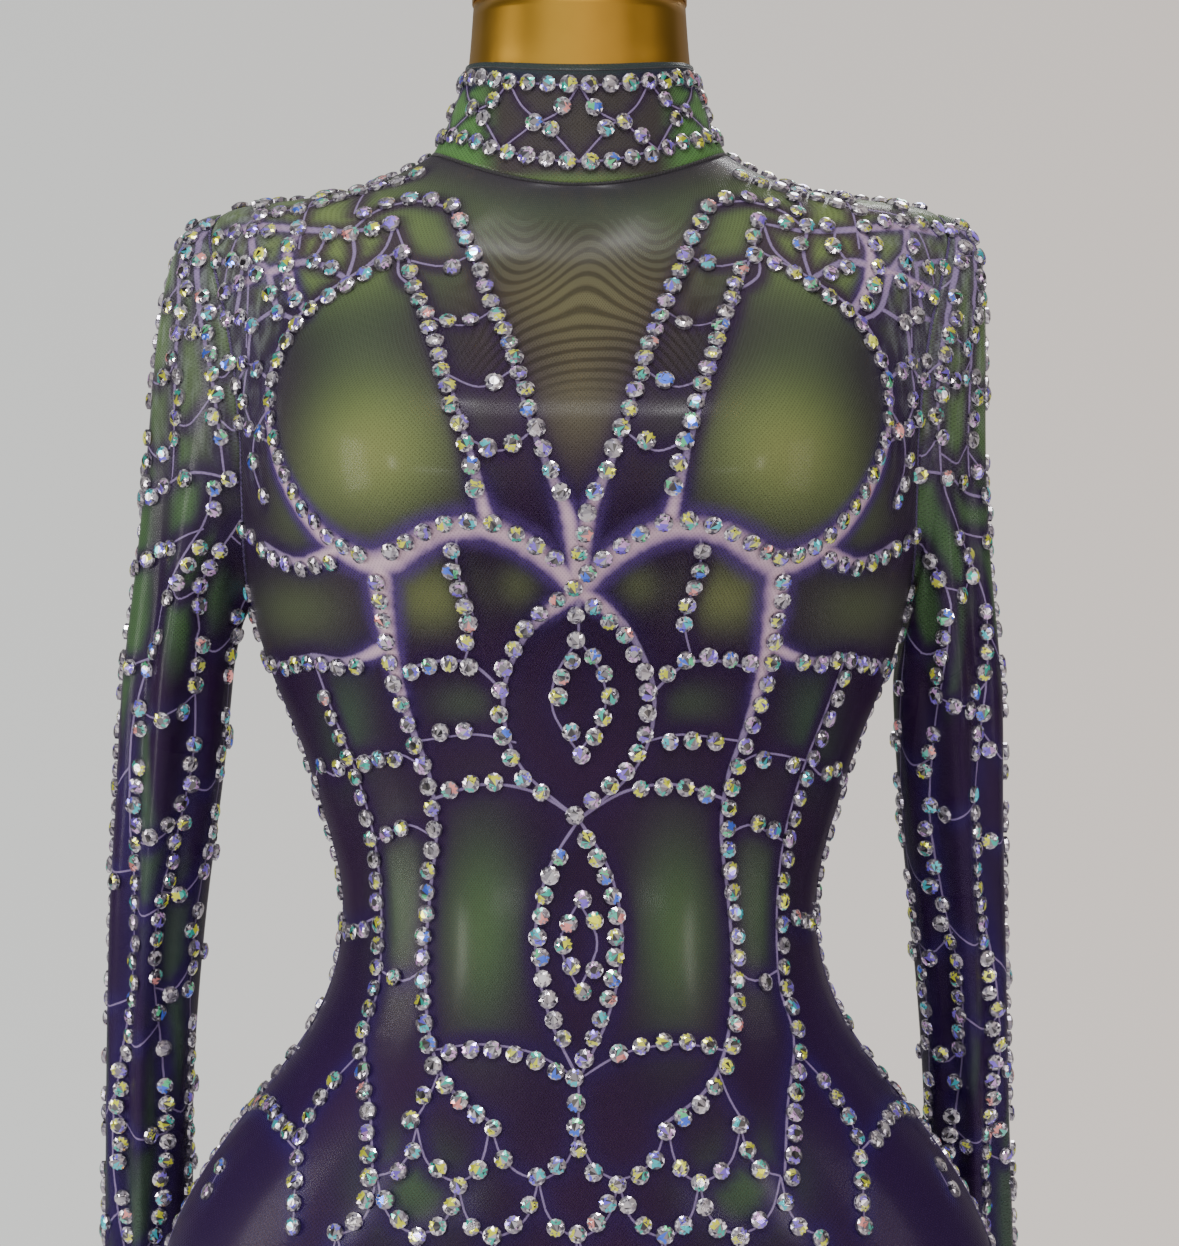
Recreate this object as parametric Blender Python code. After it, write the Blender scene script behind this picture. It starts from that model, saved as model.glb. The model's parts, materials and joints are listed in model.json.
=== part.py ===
"""A long-sleeved, high-necked catsuit of printed mesh cloth, worn by a limbless dress form on a round base.

The suit is cut as its maker cuts it: one front from neck to ankles, two backs with a zip between them,
two sleeves and a collar. The form fills the body of the suit. The sleeves and the legs hang empty.
X runs across the suit (+X is the wearer's left), the front faces -Y, and Z is up from the floor.
"""

import math
from collections import namedtuple

import bmesh
import bpy
import numpy as np

# Cloth and clearances, in metres
CLOTH = 0.0012
EASE = 0.0006
SEAM_GAP = 0.0003
CLOTH_OUT = EASE + CLOTH

# The body, as level rings that tip up at the sides to make the shoulders. Sizes in millimetres:
# the ring's height at the side, front and back, its half width, its depth to front and back,
# and its roundness (2 is an ellipse, less is more pointed).
Ring = namedtuple("Ring", "side_z front_z back_z half_width front back roundness")
BODY = [
    Ring(800, 800, 800, 194.0, 102.0, 122.0, 2.1),
    Ring(829, 829, 829, 199.0, 106.0, 132.0, 2.1),
    Ring(858, 858, 858, 197.5, 110.0, 141.0, 2.1),
    Ring(890, 890, 890, 188.5, 110.5, 137.0, 2.1),
    Ring(922, 922, 922, 169.0, 108.0, 121.0, 2.1),
    Ring(953, 953, 953, 144.0, 103.5, 101.0, 2.1),
    Ring(985, 985, 985, 119.5, 97.0, 85.0, 2.1),
    Ring(1018, 1018, 1018, 109.0, 91.0, 76.0, 2.1),
    Ring(1050, 1050, 1050, 108.5, 87.5, 74.0, 2.1),
    Ring(1084, 1084, 1084, 119.0, 87.5, 78.0, 2.1),
    Ring(1114, 1114, 1114, 128.0, 89.0, 83.0, 2.1),
    Ring(1142, 1142, 1142, 141.0, 90.0, 88.0, 2.1),
    Ring(1172, 1172, 1172, 152.0, 90.0, 93.0, 2.1),
    Ring(1205, 1205, 1205, 157.0, 89.0, 97.0, 2.1),
    Ring(1240, 1236, 1240, 163.0, 86.0, 98.0, 2.2),
    Ring(1278, 1268, 1278, 169.0, 81.0, 95.0, 2.3),
    Ring(1315, 1297, 1313, 174.0, 75.0, 88.0, 2.2),
    Ring(1343, 1322, 1340, 176.0, 70.0, 78.0, 2.0),
    Ring(1360, 1340, 1358, 171.0, 66.0, 69.0, 1.8),
    Ring(1364.5, 1350, 1370, 152.0, 63.5, 65.0, 1.7),
    Ring(1367.5, 1356, 1379, 124.0, 62.0, 62.0, 1.75),
    Ring(1372.5, 1360, 1386, 98.0, 61.0, 60.0, 1.9),
    Ring(1380, 1363, 1392, 81.0, 60.5, 58.5, 2.0),
    Ring(1388, 1366, 1398, 68.0, 59.5, 57.0, 2.0),
    Ring(1409, 1394, 1415, 58.0, 54.5, 54.5, 2.0),
    Ring(1430, 1422, 1434, 52.0, 51.5, 52.0, 2.0),
    Ring(1460, 1460, 1460, 50.0, 50.0, 50.0, 2.0),
]
ARMPIT, SHOULDER_TIP, NECK_SEAM, COLLAR_TOP, NECK_TOP = 12, 18.3, 23, 25, 26
ARMHOLE_STEPS = 8
ZIP_END = 8  # the waist's ring

# Bust, in metres: the two cups of the form, and the cloth that spans the hollow between them.
CUP_X, CUP_Z = 0.078, 1.243
CUP_DEPTH, CUP_SPREAD_X, CUP_SPREAD_Z, CUP_ROUNDNESS = 0.050, 0.045, 0.044, 1.3
SPAN_DIP = 0.10  # how far the spanning cloth sinks at the middle, as a share of the cup's depth

# How far the armhole cuts in from the side seam's line, in degrees round the body.
FRONT_INSET, BACK_INSET = 26.0, 22.0

# Columns of a panel from its centre out to its side, and of the form's bare shoulder end.
HALF_COLUMNS, END_COLUMNS = 10, 4

# The suit between the form's underside and the fork, as heights and shares of the way to two legs.
SEAT = [(0.789, 0.26), (0.777, 0.62)]

# The legs, as rings in millimetres: height, centre, half width, half depth, how deep the folds are as a
# share of their full depth, and how the points are spread (1 is evenly, less is closer at the side).
LegRing = namedtuple("LegRing", "z x y half_width half_depth fold spacing")
LEG = [
    LegRing(765, 95, 4, 95, 98, 0.0, 0.66),
    LegRing(735, 97, 6, 88, 92, 0.35, 0.80),
    LegRing(695, 97, 8, 79, 84, 0.8, 0.95),
    LegRing(640, 95, 9, 69, 74, 1.0, 1.0),
    LegRing(570, 92, 8, 60, 64, 1.0, 1.0),
    LegRing(490, 89, 6, 53, 56, 1.0, 1.0),
    LegRing(400, 87, 5, 48, 51, 1.0, 1.0),
    LegRing(305, 86, 5, 45, 48, 1.0, 1.0),
    LegRing(210, 85, 4, 41, 44, 0.9, 1.0),
    LegRing(130, 85, 4, 36, 39, 0.7, 1.0),
    LegRing(62, 85, 3, 33, 36, 0.5, 1.0),
]

# The sleeves below the armpit, as rings in millimetres. They hang a little to the wearer's right.
SleeveRing = namedtuple("SleeveRing", "z left_x left_y right_x right_y half_width half_depth")
SLEEVE = [
    SleeveRing(1138, 175.0, 12, 191.5, 12, 26.5, 38),
    SleeveRing(1092, 177.0, 23, 195.5, 21, 25.0, 38),
    SleeveRing(1045, 181.5, 37, 202.0, 30, 23.5, 37),
    SleeveRing(1000, 186.0, 50, 206.0, 38, 22.0, 36),
    SleeveRing(940, 191.0, 68, 210.5, 50, 20.5, 34),
    SleeveRing(880, 194.5, 84, 211.5, 60, 21.5, 32),
    SleeveRing(820, 197.0, 88, 213.5, 64, 21.0, 30),
    SleeveRing(765, 197.5, 88, 214.0, 65, 20.0, 28),
]
CAP_ROWS = 7
CAP_OUT, CAP_DROP = 0.034, 0.132  # how far the cap keeps to the shoulder's line, then to the sleeve's
CAP_LEAN, CAP_LIFT = 0.022, 0.012  # how far in from the sleeve's line it hangs, and how high it is padded

# Lengthwise folds round a hanging tube. The angle is from the side next to the body, by way of the
# front, in degrees, and it drifts by the given angle from the top to the bottom of the tube.
Fold = namedtuple("Fold", "angle drift depth spread")
SLEEVE_FOLDS = [
    Fold(58, 10, 0.0085, 15),
    Fold(122, -8, 0.0100, 14),
    Fold(236, 8, 0.0080, 16),
    Fold(300, -10, 0.0090, 15),
]
LEG_FOLDS = [
    Fold(54, 12, 0.020, 17),
    Fold(122, -14, 0.024, 17),
    Fold(234, 12, 0.021, 18),
    Fold(306, -8, 0.018, 17),
]

# The stand and the form's neck cap, in metres
BASE_RADIUS, BASE_EDGE, BASE_TOP, HUB_RADIUS, HUB_TOP = 0.190, 0.008, 0.014, 0.024, 0.034
POLE_X, POLE_Y, POLE_RADIUS = 0.085, 0.004, 0.0125
FLANGE_RADIUS, FLANGE_HEIGHT = 0.026, 0.008
CAP_RADIUS, CAP_HEIGHT, CAP_ROUNDING = 0.0505, 0.012, 0.003

# The zip at the centre back, in metres
ZIP_HALF = 0.0025
SLIDER = (0.008, 0.0024, 0.011)
SLIDER_Z, SLIDER_TILT = 1.4215, math.radians(7.5)
PULL_AXIS_Y, PULL_AXIS_Z = 0.0605, 1.4265
CROWN_HALF, CROWN_BAR = 0.0012, 0.0014
CROWN_OUT, CROWN_UP = 0.0030, 0.0052
PULL_BAR, EYE_HALF, CHEEK, EYE_LENGTH = 0.0006, 0.0020, 0.0016, 0.0070
TAB_LENGTH, TAB_HALF, TAB_POINT = 0.027, 0.0046, 0.0030

# sRGB base colour, roughness and metallic value
FINISHES = {
    "mesh": ((0.19, 0.13, 0.27), 0.6, 0.0),
    "gold": ((0.72, 0.55, 0.24), 0.28, 1.0),
    "zip": ((0.16, 0.12, 0.22), 0.55, 0.0),
    "metal": ((0.70, 0.70, 0.74), 0.25, 1.0),
}


def linear(value):
    return ((value + 0.055) / 1.055) ** 2.4 if value > 0.04045 else value / 12.92


def finish(name):
    """One material for each finish, made when it is first asked for."""
    found = bpy.data.materials.get(name)
    if found:
        return found
    colour, roughness, metallic = FINISHES[name]
    made = bpy.data.materials.new(name)
    made.use_nodes = True
    shader = made.node_tree.nodes["Principled BSDF"]
    shader.inputs["Base Color"].default_value = [*map(linear, colour), 1.0]
    shader.inputs["Roughness"].default_value = roughness
    shader.inputs["Metallic"].default_value = metallic
    return made


def add_object(name, bm, finish_name, smooth=True):
    """A new object from a bmesh, which it frees."""
    mesh = bpy.data.meshes.new(name)
    bm.to_mesh(mesh)
    bm.free()
    made = bpy.data.objects.new(name, mesh)
    bpy.context.scene.collection.objects.link(made)
    mesh.materials.append(finish(finish_name))
    if smooth:
        mesh.shade_smooth()
        mesh.set_sharp_from_angle(angle=math.radians(40))
    return made


def on_curve(table, row):
    """The table's columns at a fractional row, on a smooth curve through its rows."""
    last = len(table) - 1
    below = min(int(row), last - 1)
    u = row - below
    a, b, c, d = (np.array(table[min(max(below + k, 0), last)], float) for k in (-1, 0, 1, 2))
    return 0.5 * (2 * b + (c - a) * u + (2 * a - 5 * b + 4 * c - d) * u**2 + (3 * b - a - 3 * c + d) * u**3)


def form_cups(x, z):
    """How far the form's bust stands forward, in metres."""
    across = (abs(x) - CUP_X) / CUP_SPREAD_X
    along = (z - CUP_Z) / CUP_SPREAD_Z
    return CUP_DEPTH * math.exp(-0.5 * (across**2 + along**2) ** CUP_ROUNDNESS)


def cloth_cups(x, z):
    """The same for the cloth, which spans from cup to cup with a slight dip."""
    if abs(x) >= CUP_X:
        return form_cups(x, z)
    dip = SPAN_DIP * (1 + math.cos(math.pi * x / CUP_X)) / 2
    return form_cups(CUP_X, z) * (1 - dip)


def body_point(row, angle, cups):
    """A point of the body, in metres. The angle runs from the front's centre towards +X, in radians."""
    ring = Ring(*on_curve(BODY, row))
    power = 2 / ring.roundness
    sine, cosine = math.sin(angle), math.cos(angle)
    depth, middle_z = (ring.front, ring.front_z) if cosine > 0 else (ring.back, ring.back_z)
    x = math.copysign(abs(sine) ** power, sine) * ring.half_width / 1000
    y = -math.copysign(abs(cosine) ** power, cosine) * depth / 1000
    z = (ring.side_z + (middle_z - ring.side_z) * cosine**2) / 1000
    if cosine > 0:
        y -= cups(x, z) * math.sqrt(cosine)
    return np.array([x, y, z])


def proud_point(row, angle, out, cups=cloth_cups):
    """A point that stands off the body by `out`, square to its surface."""
    step = 0.02
    point = body_point(row, angle, cups)
    if not out:
        return point
    low, high = max(row - step, 0), min(row + step, NECK_TOP)
    along = body_point(high, angle, cups) - body_point(low, angle, cups)
    across = body_point(row, angle + step, cups) - body_point(row, angle - step, cups)
    normal = np.cross(across, along)
    return point + normal / np.linalg.norm(normal) * out


def angle_at(row, x):
    """The angle, from the front's or the back's centre, at which a ring is x metres out."""
    ring = Ring(*on_curve(BODY, row))
    return math.asin((x * 1000 / ring.half_width) ** (ring.roundness / 2))


def armhole_share(row):
    """0 off the armhole and 1 at its middle height."""
    share = (row - ARMPIT) / (SHOULDER_TIP - ARMPIT)
    return math.sin(math.pi * share) if 0 < share < 1 else 0.0


def edge_angles(row):
    """Where the front and the back panel end at a ring: the side seam, the armhole or the shoulder seam."""
    inset = armhole_share(row)
    front = math.radians(90 - FRONT_INSET * inset)
    back = math.radians(90 + BACK_INSET * inset)
    return front, back


def seam_angle(row):
    """Half the gap between two panels, as an angle at the side of a ring."""
    ring = Ring(*on_curve(BODY, row))
    return SEAM_GAP / 2 / (min(ring.front, ring.back) / 1000)


def armhole_rows():
    return [ARMPIT + (SHOULDER_TIP - ARMPIT) * k / ARMHOLE_STEPS for k in range(ARMHOLE_STEPS + 1)]


def body_rows():
    """The rings that the panels and the form share, from the form's underside to the neck seam."""
    return [*range(ARMPIT), *armhole_rows(), *range(19, NECK_SEAM + 1)]


def neck_rows():
    return [NECK_SEAM, NECK_SEAM + 0.5, NECK_SEAM + 1, COLLAR_TOP - 0.5, COLLAR_TOP]


def spread(start, end, steps):
    return [start + (end - start) * k / steps for k in range(steps + 1)]


def fold_depth(folds, angle, along):
    """How far the folds pull a tube in at an angle in degrees, `along` of the way down it."""
    depth = 0.0
    for fold in folds:
        away = (angle - fold.angle - fold.drift * along + 180) % 360 - 180
        depth += fold.depth * math.exp(-0.5 * (away / fold.spread) ** 2)
    return depth


def tube_point(centre, half_width, half_depth, angle, inwards):
    """A point of a level oval, its angle in degrees from the side next to the body by way of the front."""
    turn = math.radians(angle)
    out = np.array([-math.cos(turn) * half_width, -math.sin(turn) * half_depth, 0.0])
    return np.array(centre) + out * (1 - inwards / np.linalg.norm(out))


def leg_point(ring_row, angle, within=0.0):
    """A point of the wearer's left leg, `within` its outer face. Angle 0 is the inseam and 180 the side
    seam."""
    ring = LegRing(*on_curve(LEG, ring_row))
    along = ring_row / (len(LEG) - 1)
    inwards = fold_depth(LEG_FOLDS, angle, along) * ring.fold + within
    centre = (ring.x / 1000, ring.y / 1000, ring.z / 1000)
    return tube_point(centre, ring.half_width / 1000, ring.half_depth / 1000, angle, inwards)


def leg_gap(ring_row):
    """Half a seam's gap, as an angle in degrees at a leg's side."""
    return math.degrees(SEAM_GAP / 2 / (LegRing(*on_curve(LEG, ring_row)).half_depth / 1000))


def half_panel(front, inner):
    """Rows of points of half the front or of the left back, on the wall's outer or inner face, from the
    neck down to the hem, each row from the centre out to the side."""
    out = EASE if inner else CLOTH_OUT
    rows = []
    for row in reversed(body_rows()):
        edge = edge_angles(row)[0] - seam_angle(row) if front else edge_angles(row)[1] + seam_angle(row)
        centre = 0.0 if front else math.pi - angle_at(row, back_edge_x(row))
        rows.append([proud_point(row, angle, out) for angle in spread(centre, edge, HALF_COLUMNS)])
    seat_top = rows[-1]
    fork = leg_half(0, front, inner)
    for height, share in SEAT:
        blended = [a * (1 - share) + b * share for a, b in zip(seat_top, fork)]
        lifted = height + (CLOTH if inner else 0)
        rows.append([np.array([p[0], p[1], lifted]) for p in blended])
    rows.append(fork)
    rows += [leg_half(k, front, inner) for k in range(1, len(LEG))]
    return rows


def leg_half(ring_row, front, inner):
    """The front or back half of a leg's ring, from the inseam to the side seam. The wall is level at the
    fork, so there its inner face lies above its outer one."""
    gap = leg_gap(ring_row)
    low, high = (gap, 180 - gap) if front else (360 - gap, 180 + gap)
    shares = [share ** LEG[ring_row].spacing for share in spread(0, 1, HALF_COLUMNS)]
    angles = [low + (high - low) * share for share in shares]
    points = [leg_point(ring_row, angle, CLOTH if inner else 0.0) for angle in angles]
    if ring_row == 0:
        if inner:
            for point, angle in zip(points, angles):
                point[2] += CLOTH * (1 + math.cos(math.radians(angle))) / 2
        points[0][0] = 0.0 if front else SEAM_GAP / 2
    return points


def back_edge_x(row):
    """How far the left back's centre edge is from the centre line: beside the zip, or at its seam."""
    return ZIP_HALF + SEAM_GAP if row >= ZIP_END else SEAM_GAP / 2


def mirrored(rows):
    return [[point * np.array([-1, 1, 1]) for point in row] for row in rows]


def split_quad(corners, points):
    """The two triangles of a quad, [lower, lower after, upper after, upper]. The split runs down and away
    from the centre line, so that cloth and form are split alike and stay apart."""
    a, b, c, d = corners
    first, after = (abs(points[k][0]) for k in (d, c))
    return [[a, b, d], [b, c, d]] if first < after else [[a, b, c], [a, c, d]]


def grid_faces(index, points, closed, flip):
    """Triangles between rows of corners. Unflipped, they face out where the rows go up and the corners go
    from the front towards +X."""
    faces = []
    count = len(index[0])
    for low, high in zip(index, index[1:]):
        for k in range(count if closed else count - 1):
            after = (k + 1) % count
            quad = [low[k], low[after], high[after], high[k]]
            if points[low[0]][2] > points[high[0]][2]:
                quad = [high[k], high[after], low[after], low[k]]
                faces += [face[::-1] for face in split_quad(quad, points)]
            else:
                faces += split_quad(quad, points)
    return [face[::-1] for face in faces] if flip else faces


def add_wall(name, grids, finish_name="mesh"):
    """A piece of cloth as a closed wall. Each grid is (outer rows, inner rows, closed, flip), and grids
    whose outer points meet are sewn into one. A rim joins the two faces along every free edge."""
    outer, inner, faces, places = [], [], [], {}

    def corner(outside, inside):
        key = tuple(np.round(outside, 5) + 0.0)
        if key not in places:
            places[key] = len(outer)
            outer.append(outside)
            inner.append(inside)
        return places[key]

    for outer_rows, inner_rows, closed, flip in grids:
        index = [[corner(*pair) for pair in zip(*rows)] for rows in zip(outer_rows, inner_rows)]
        faces += grid_faces(index, outer, closed, flip)
    edges = [pair for face in faces for pair in zip(face, face[1:] + face[:1])]
    sewn = set(edges)
    shift = len(outer)
    walls = faces + [[k + shift for k in face[::-1]] for face in faces]
    walls += [[b, a, a + shift, b + shift] for a, b in edges if (b, a) not in sewn]
    bm = bmesh.new()
    verts = [bm.verts.new(point) for point in outer + inner]
    for face in walls:
        bm.faces.new([verts[k] for k in face])
    return add_object(name, bm, finish_name)


def add_front():
    outer, inner = half_panel(True, False), half_panel(True, True)
    add_wall("front", [(outer, inner, False, True), (mirrored(outer), mirrored(inner), False, False)])


def add_backs():
    outer, inner = half_panel(False, False), half_panel(False, True)
    add_wall("back_left", [(outer, inner, False, False)])
    add_wall("back_right", [(mirrored(outer), mirrored(inner), False, True)])


def armhole_ring(inner):
    """The left sleeve's sewn edge: from the armpit up the front of the armhole and down its back, with a
    point between each two of the panels' own. Its inner face lies towards the armhole's middle."""
    front, back = [], []
    for row in armhole_rows():
        front_edge, back_edge = edge_angles(row)
        gap = seam_angle(row) if 0 < armhole_share(row) else 0.0
        front.append(proud_point(row, front_edge + gap, CLOTH_OUT))
        back.append(proud_point(row, back_edge - gap, CLOTH_OUT))
    lift = np.array([SEAM_GAP, 0, 0])
    corners = [p + lift for p in front + back[-2:0:-1]]
    ring = []
    for here, after in zip(corners, corners[1:] + corners[:1]):
        ring += [here, (here + after) / 2]
    if not inner:
        return ring
    middle = sum(ring) / len(ring)
    towards = [(middle - p) * np.array([0, 1, 1]) for p in ring]
    return [p + way / np.linalg.norm(way) * CLOTH for p, way in zip(ring, towards)]


def sleeve_ring(row, count, left, inner):
    """A level ring of a sleeve below the armpit, with +X out from the body on both sides."""
    ring = SleeveRing(*on_curve(SLEEVE, row))
    x, y = (ring.left_x, ring.left_y) if left else (ring.right_x, ring.right_y)
    along = row / (len(SLEEVE) - 1)
    points = []
    for k in range(count):
        angle = 360 * k / count
        inwards = fold_depth(SLEEVE_FOLDS, angle, along) + (CLOTH if inner else 0)
        centre = (x / 1000, y / 1000, ring.z / 1000)
        points.append(tube_point(centre, ring.half_width / 1000, ring.half_depth / 1000, angle, inwards))
    return points


def bezier(a, b, c, d, u):
    return a * (1 - u) ** 3 + 3 * b * u * (1 - u) ** 2 + 3 * c * u**2 * (1 - u) + d * u**3


def sleeve_rows(left, inner):
    """Rings of a sleeve from its cuff up to the armhole, with +X out from the body on both sides. The cap leaves the shoulder level, and
    turns down into the hanging tube."""
    sewn = armhole_ring(False)
    shoulder_z = max(point[2] for point in sewn)
    armpit_z = min(point[2] for point in sewn)
    heights = [(point[2] - armpit_z) / (shoulder_z - armpit_z) for point in sewn]
    sewn = armhole_ring(inner)
    top = sleeve_ring(0, len(sewn), left, inner)
    cap = []
    for k in range(CAP_ROWS):
        row = []
        for start, end, height in zip(sewn, top, heights):
            out = start + np.array([CAP_OUT * (0.12 + 0.88 * height), 0, CAP_LIFT * height])
            drop = end + np.array([-CAP_LEAN * height, 0, CAP_DROP * (0.05 + 0.95 * height)])
            row.append(bezier(start, out, drop, end, k / CAP_ROWS))
        cap.append(row)
    hanging = [sleeve_ring(k, len(sewn), left, inner) for k in range(len(SLEEVE))]
    return (cap + hanging)[::-1]


def add_sleeves():
    add_wall("sleeve_left", [(sleeve_rows(True, False), sleeve_rows(True, True), True, False)])
    outer, inner = mirrored(sleeve_rows(False, False)), mirrored(sleeve_rows(False, True))
    add_wall("sleeve_right", [(outer, inner, True, True)])


def add_collar():
    """A band round the neck, open at the zip, its lower edge just above the neck seam."""
    faces = []
    for out in (CLOTH_OUT, EASE):
        rows = []
        for row in neck_rows():
            edge = math.pi - angle_at(row, ZIP_HALF + SEAM_GAP)
            rows.append([proud_point(row, angle, out) for angle in spread(-edge, edge, 4 * HALF_COLUMNS)])
        rows[0] = [point + np.array([0, 0, SEAM_GAP]) for point in rows[0]]
        faces.append(rows)
    add_wall("collar", [(*faces, False, False)])


def add_zip_tape():
    """The closed zip, a narrow strip that follows the centre back from the waist to the collar's top."""
    faces = []
    for out in (CLOTH_OUT, EASE):
        rows = []
        for row in [r for r in body_rows() if r >= ZIP_END] + neck_rows()[1:]:
            half = angle_at(row, ZIP_HALF)
            angles = (math.pi - half, math.pi, math.pi + half)
            rows.append([proud_point(row, angle, out) for angle in angles])
        rows[0] = [point + np.array([0, 0, SEAM_GAP]) for point in rows[0]]
        faces.append(rows)
    add_wall("zip_tape", [(*faces, False, False)], "zip")


def add_form():
    """The limbless dress form: torso and neck in one, flat below and at the top of the neck."""
    rows = []
    for row in body_rows() + neck_rows()[1:] + [NECK_TOP]:
        front, back = edge_angles(row)
        left = spread(0, front, HALF_COLUMNS) + spread(front, back, END_COLUMNS)[1:]
        left += spread(back, math.pi, HALF_COLUMNS)[1:]
        right = [-angle for angle in left[-2:0:-1]]
        rows.append([proud_point(row, angle, 0.0, form_cups) for angle in left + right])
    bm = bmesh.new()
    count = len(rows[0])
    points = [point for row in rows for point in row]
    verts = [bm.verts.new(point) for point in points]
    index = [list(range(k * count, (k + 1) * count)) for k in range(len(rows))]
    for face in grid_faces(index, points, closed=True, flip=False):
        bm.faces.new([verts[k] for k in face])
    bmesh.ops.remove_doubles(bm, verts=bm.verts, dist=1e-5)
    bmesh.ops.holes_fill(bm, edges=[e for e in bm.edges if e.is_boundary])
    bmesh.ops.recalc_face_normals(bm, faces=bm.faces)
    add_object("form_body", bm, "gold")


def turned(name, profile, centre, finish_name, steps=48):
    """A solid of revolution about an upright axis from (radius, height) pairs that start and end on it."""
    bm = bmesh.new()
    verts = [bm.verts.new((radius, 0, height)) for radius, height in profile]
    edges = [bm.edges.new(pair) for pair in zip(verts, verts[1:])]
    bmesh.ops.spin(
        bm, geom=verts + edges, cent=(0, 0, 0), axis=(0, 0, 1), angle=2 * math.pi, steps=steps, use_merge=True
    )
    bmesh.ops.remove_doubles(bm, verts=bm.verts, dist=1e-6)
    bmesh.ops.recalc_face_normals(bm, faces=bm.faces)
    made = add_object(name, bm, finish_name)
    made.location = (*centre, 0)
    return made


def add_stand():
    """The neck cap, the pole, which goes down inside the left leg, and the base with its off-centre hub."""
    neck_top = BODY[NECK_TOP].side_z / 1000
    low, high = neck_top + SEAM_GAP, neck_top + SEAM_GAP + CAP_HEIGHT
    cap = [
        (0, low),
        (CAP_RADIUS, low),
        (CAP_RADIUS, high - CAP_ROUNDING),
        (CAP_RADIUS - 0.3 * CAP_ROUNDING, high - 0.3 * CAP_ROUNDING),
        (CAP_RADIUS - CAP_ROUNDING, high),
        (0, high),
    ]
    turned("neck_cap", cap, (0, 0), "gold", steps=40)
    form_base = BODY[0].side_z / 1000 - SEAM_GAP
    pole = [
        (0, HUB_TOP + SEAM_GAP),
        (POLE_RADIUS, HUB_TOP + SEAM_GAP),
        (POLE_RADIUS, form_base - FLANGE_HEIGHT),
        (FLANGE_RADIUS, form_base - FLANGE_HEIGHT),
        (FLANGE_RADIUS, form_base),
        (0, form_base),
    ]
    turned("stand_pole", pole, (POLE_X, POLE_Y), "gold", steps=20)
    base = [
        (0, 0),
        (BASE_RADIUS - 0.002, 0),
        (BASE_RADIUS, 0.002),
        (BASE_RADIUS, BASE_EDGE),
        (BASE_RADIUS - 0.006, BASE_TOP - 0.001),
        (BASE_RADIUS - 0.012, BASE_TOP),
        (0, BASE_TOP),
    ]
    disc = turned("stand_base", base, (0, 0), "gold", steps=48)
    hub = turned("base_hub", [(0, 0.004), (HUB_RADIUS, 0.004), (HUB_RADIUS, HUB_TOP), (0, HUB_TOP)],
                 (POLE_X, POLE_Y), "gold", steps=20)
    hub.hide_render = True
    hub.display_type = "WIRE"
    union = disc.modifiers.new("hub", "BOOLEAN")
    union.operation = "UNION"
    union.object = hub


def add_box(bm, low, high):
    """A box between two corners."""
    low, high = np.array(low), np.array(high)
    made = bmesh.ops.create_cube(bm, size=1)["verts"]
    bmesh.ops.scale(bm, vec=high - low, verts=made)
    bmesh.ops.translate(bm, vec=(high + low) / 2, verts=made)


def add_slider():
    """The zip's slider, with the crown on it that the pull's bar goes through."""
    collar = proud_point(COLLAR_TOP - 0.5, math.pi, CLOTH_OUT)
    half = np.array(SLIDER) / 2
    bm = bmesh.new()
    add_box(bm, -half, half)
    body = add_object("zip_slider", bm, "metal", smooth=False)
    body.location = (0, collar[1] + half[1] + 2 * SEAM_GAP, SLIDER_Z)
    body.rotation_euler = (SLIDER_TILT, 0, 0)
    bevel = body.modifiers.new("edges", "BEVEL")
    bevel.width = 0.0005
    bevel.segments = 1
    bm = bmesh.new()
    face_y = PULL_AXIS_Y - 0.0022
    outer_y = PULL_AXIS_Y + CROWN_OUT
    low_z, high_z = PULL_AXIS_Z - PULL_BAR - SEAM_GAP, PULL_AXIS_Z + CROWN_UP
    add_box(bm, (-CROWN_HALF, face_y - 0.002, low_z - CROWN_BAR), (CROWN_HALF, outer_y, high_z))
    crown = add_object("crown", bm, "metal", smooth=False)
    bm = bmesh.new()
    add_box(bm, (-0.01, PULL_AXIS_Y - 0.0014, low_z), (0.01, outer_y - CROWN_BAR, high_z - CROWN_BAR))
    window = add_object("crown_window", bm, "metal", smooth=False)
    for helper in (crown, window):
        helper.hide_render = True
        helper.display_type = "WIRE"
    cut = crown.modifiers.new("window", "BOOLEAN")
    cut.operation = "DIFFERENCE"
    cut.object = window
    join = body.modifiers.new("crown", "BOOLEAN")
    join.operation = "UNION"
    join.object = crown


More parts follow.
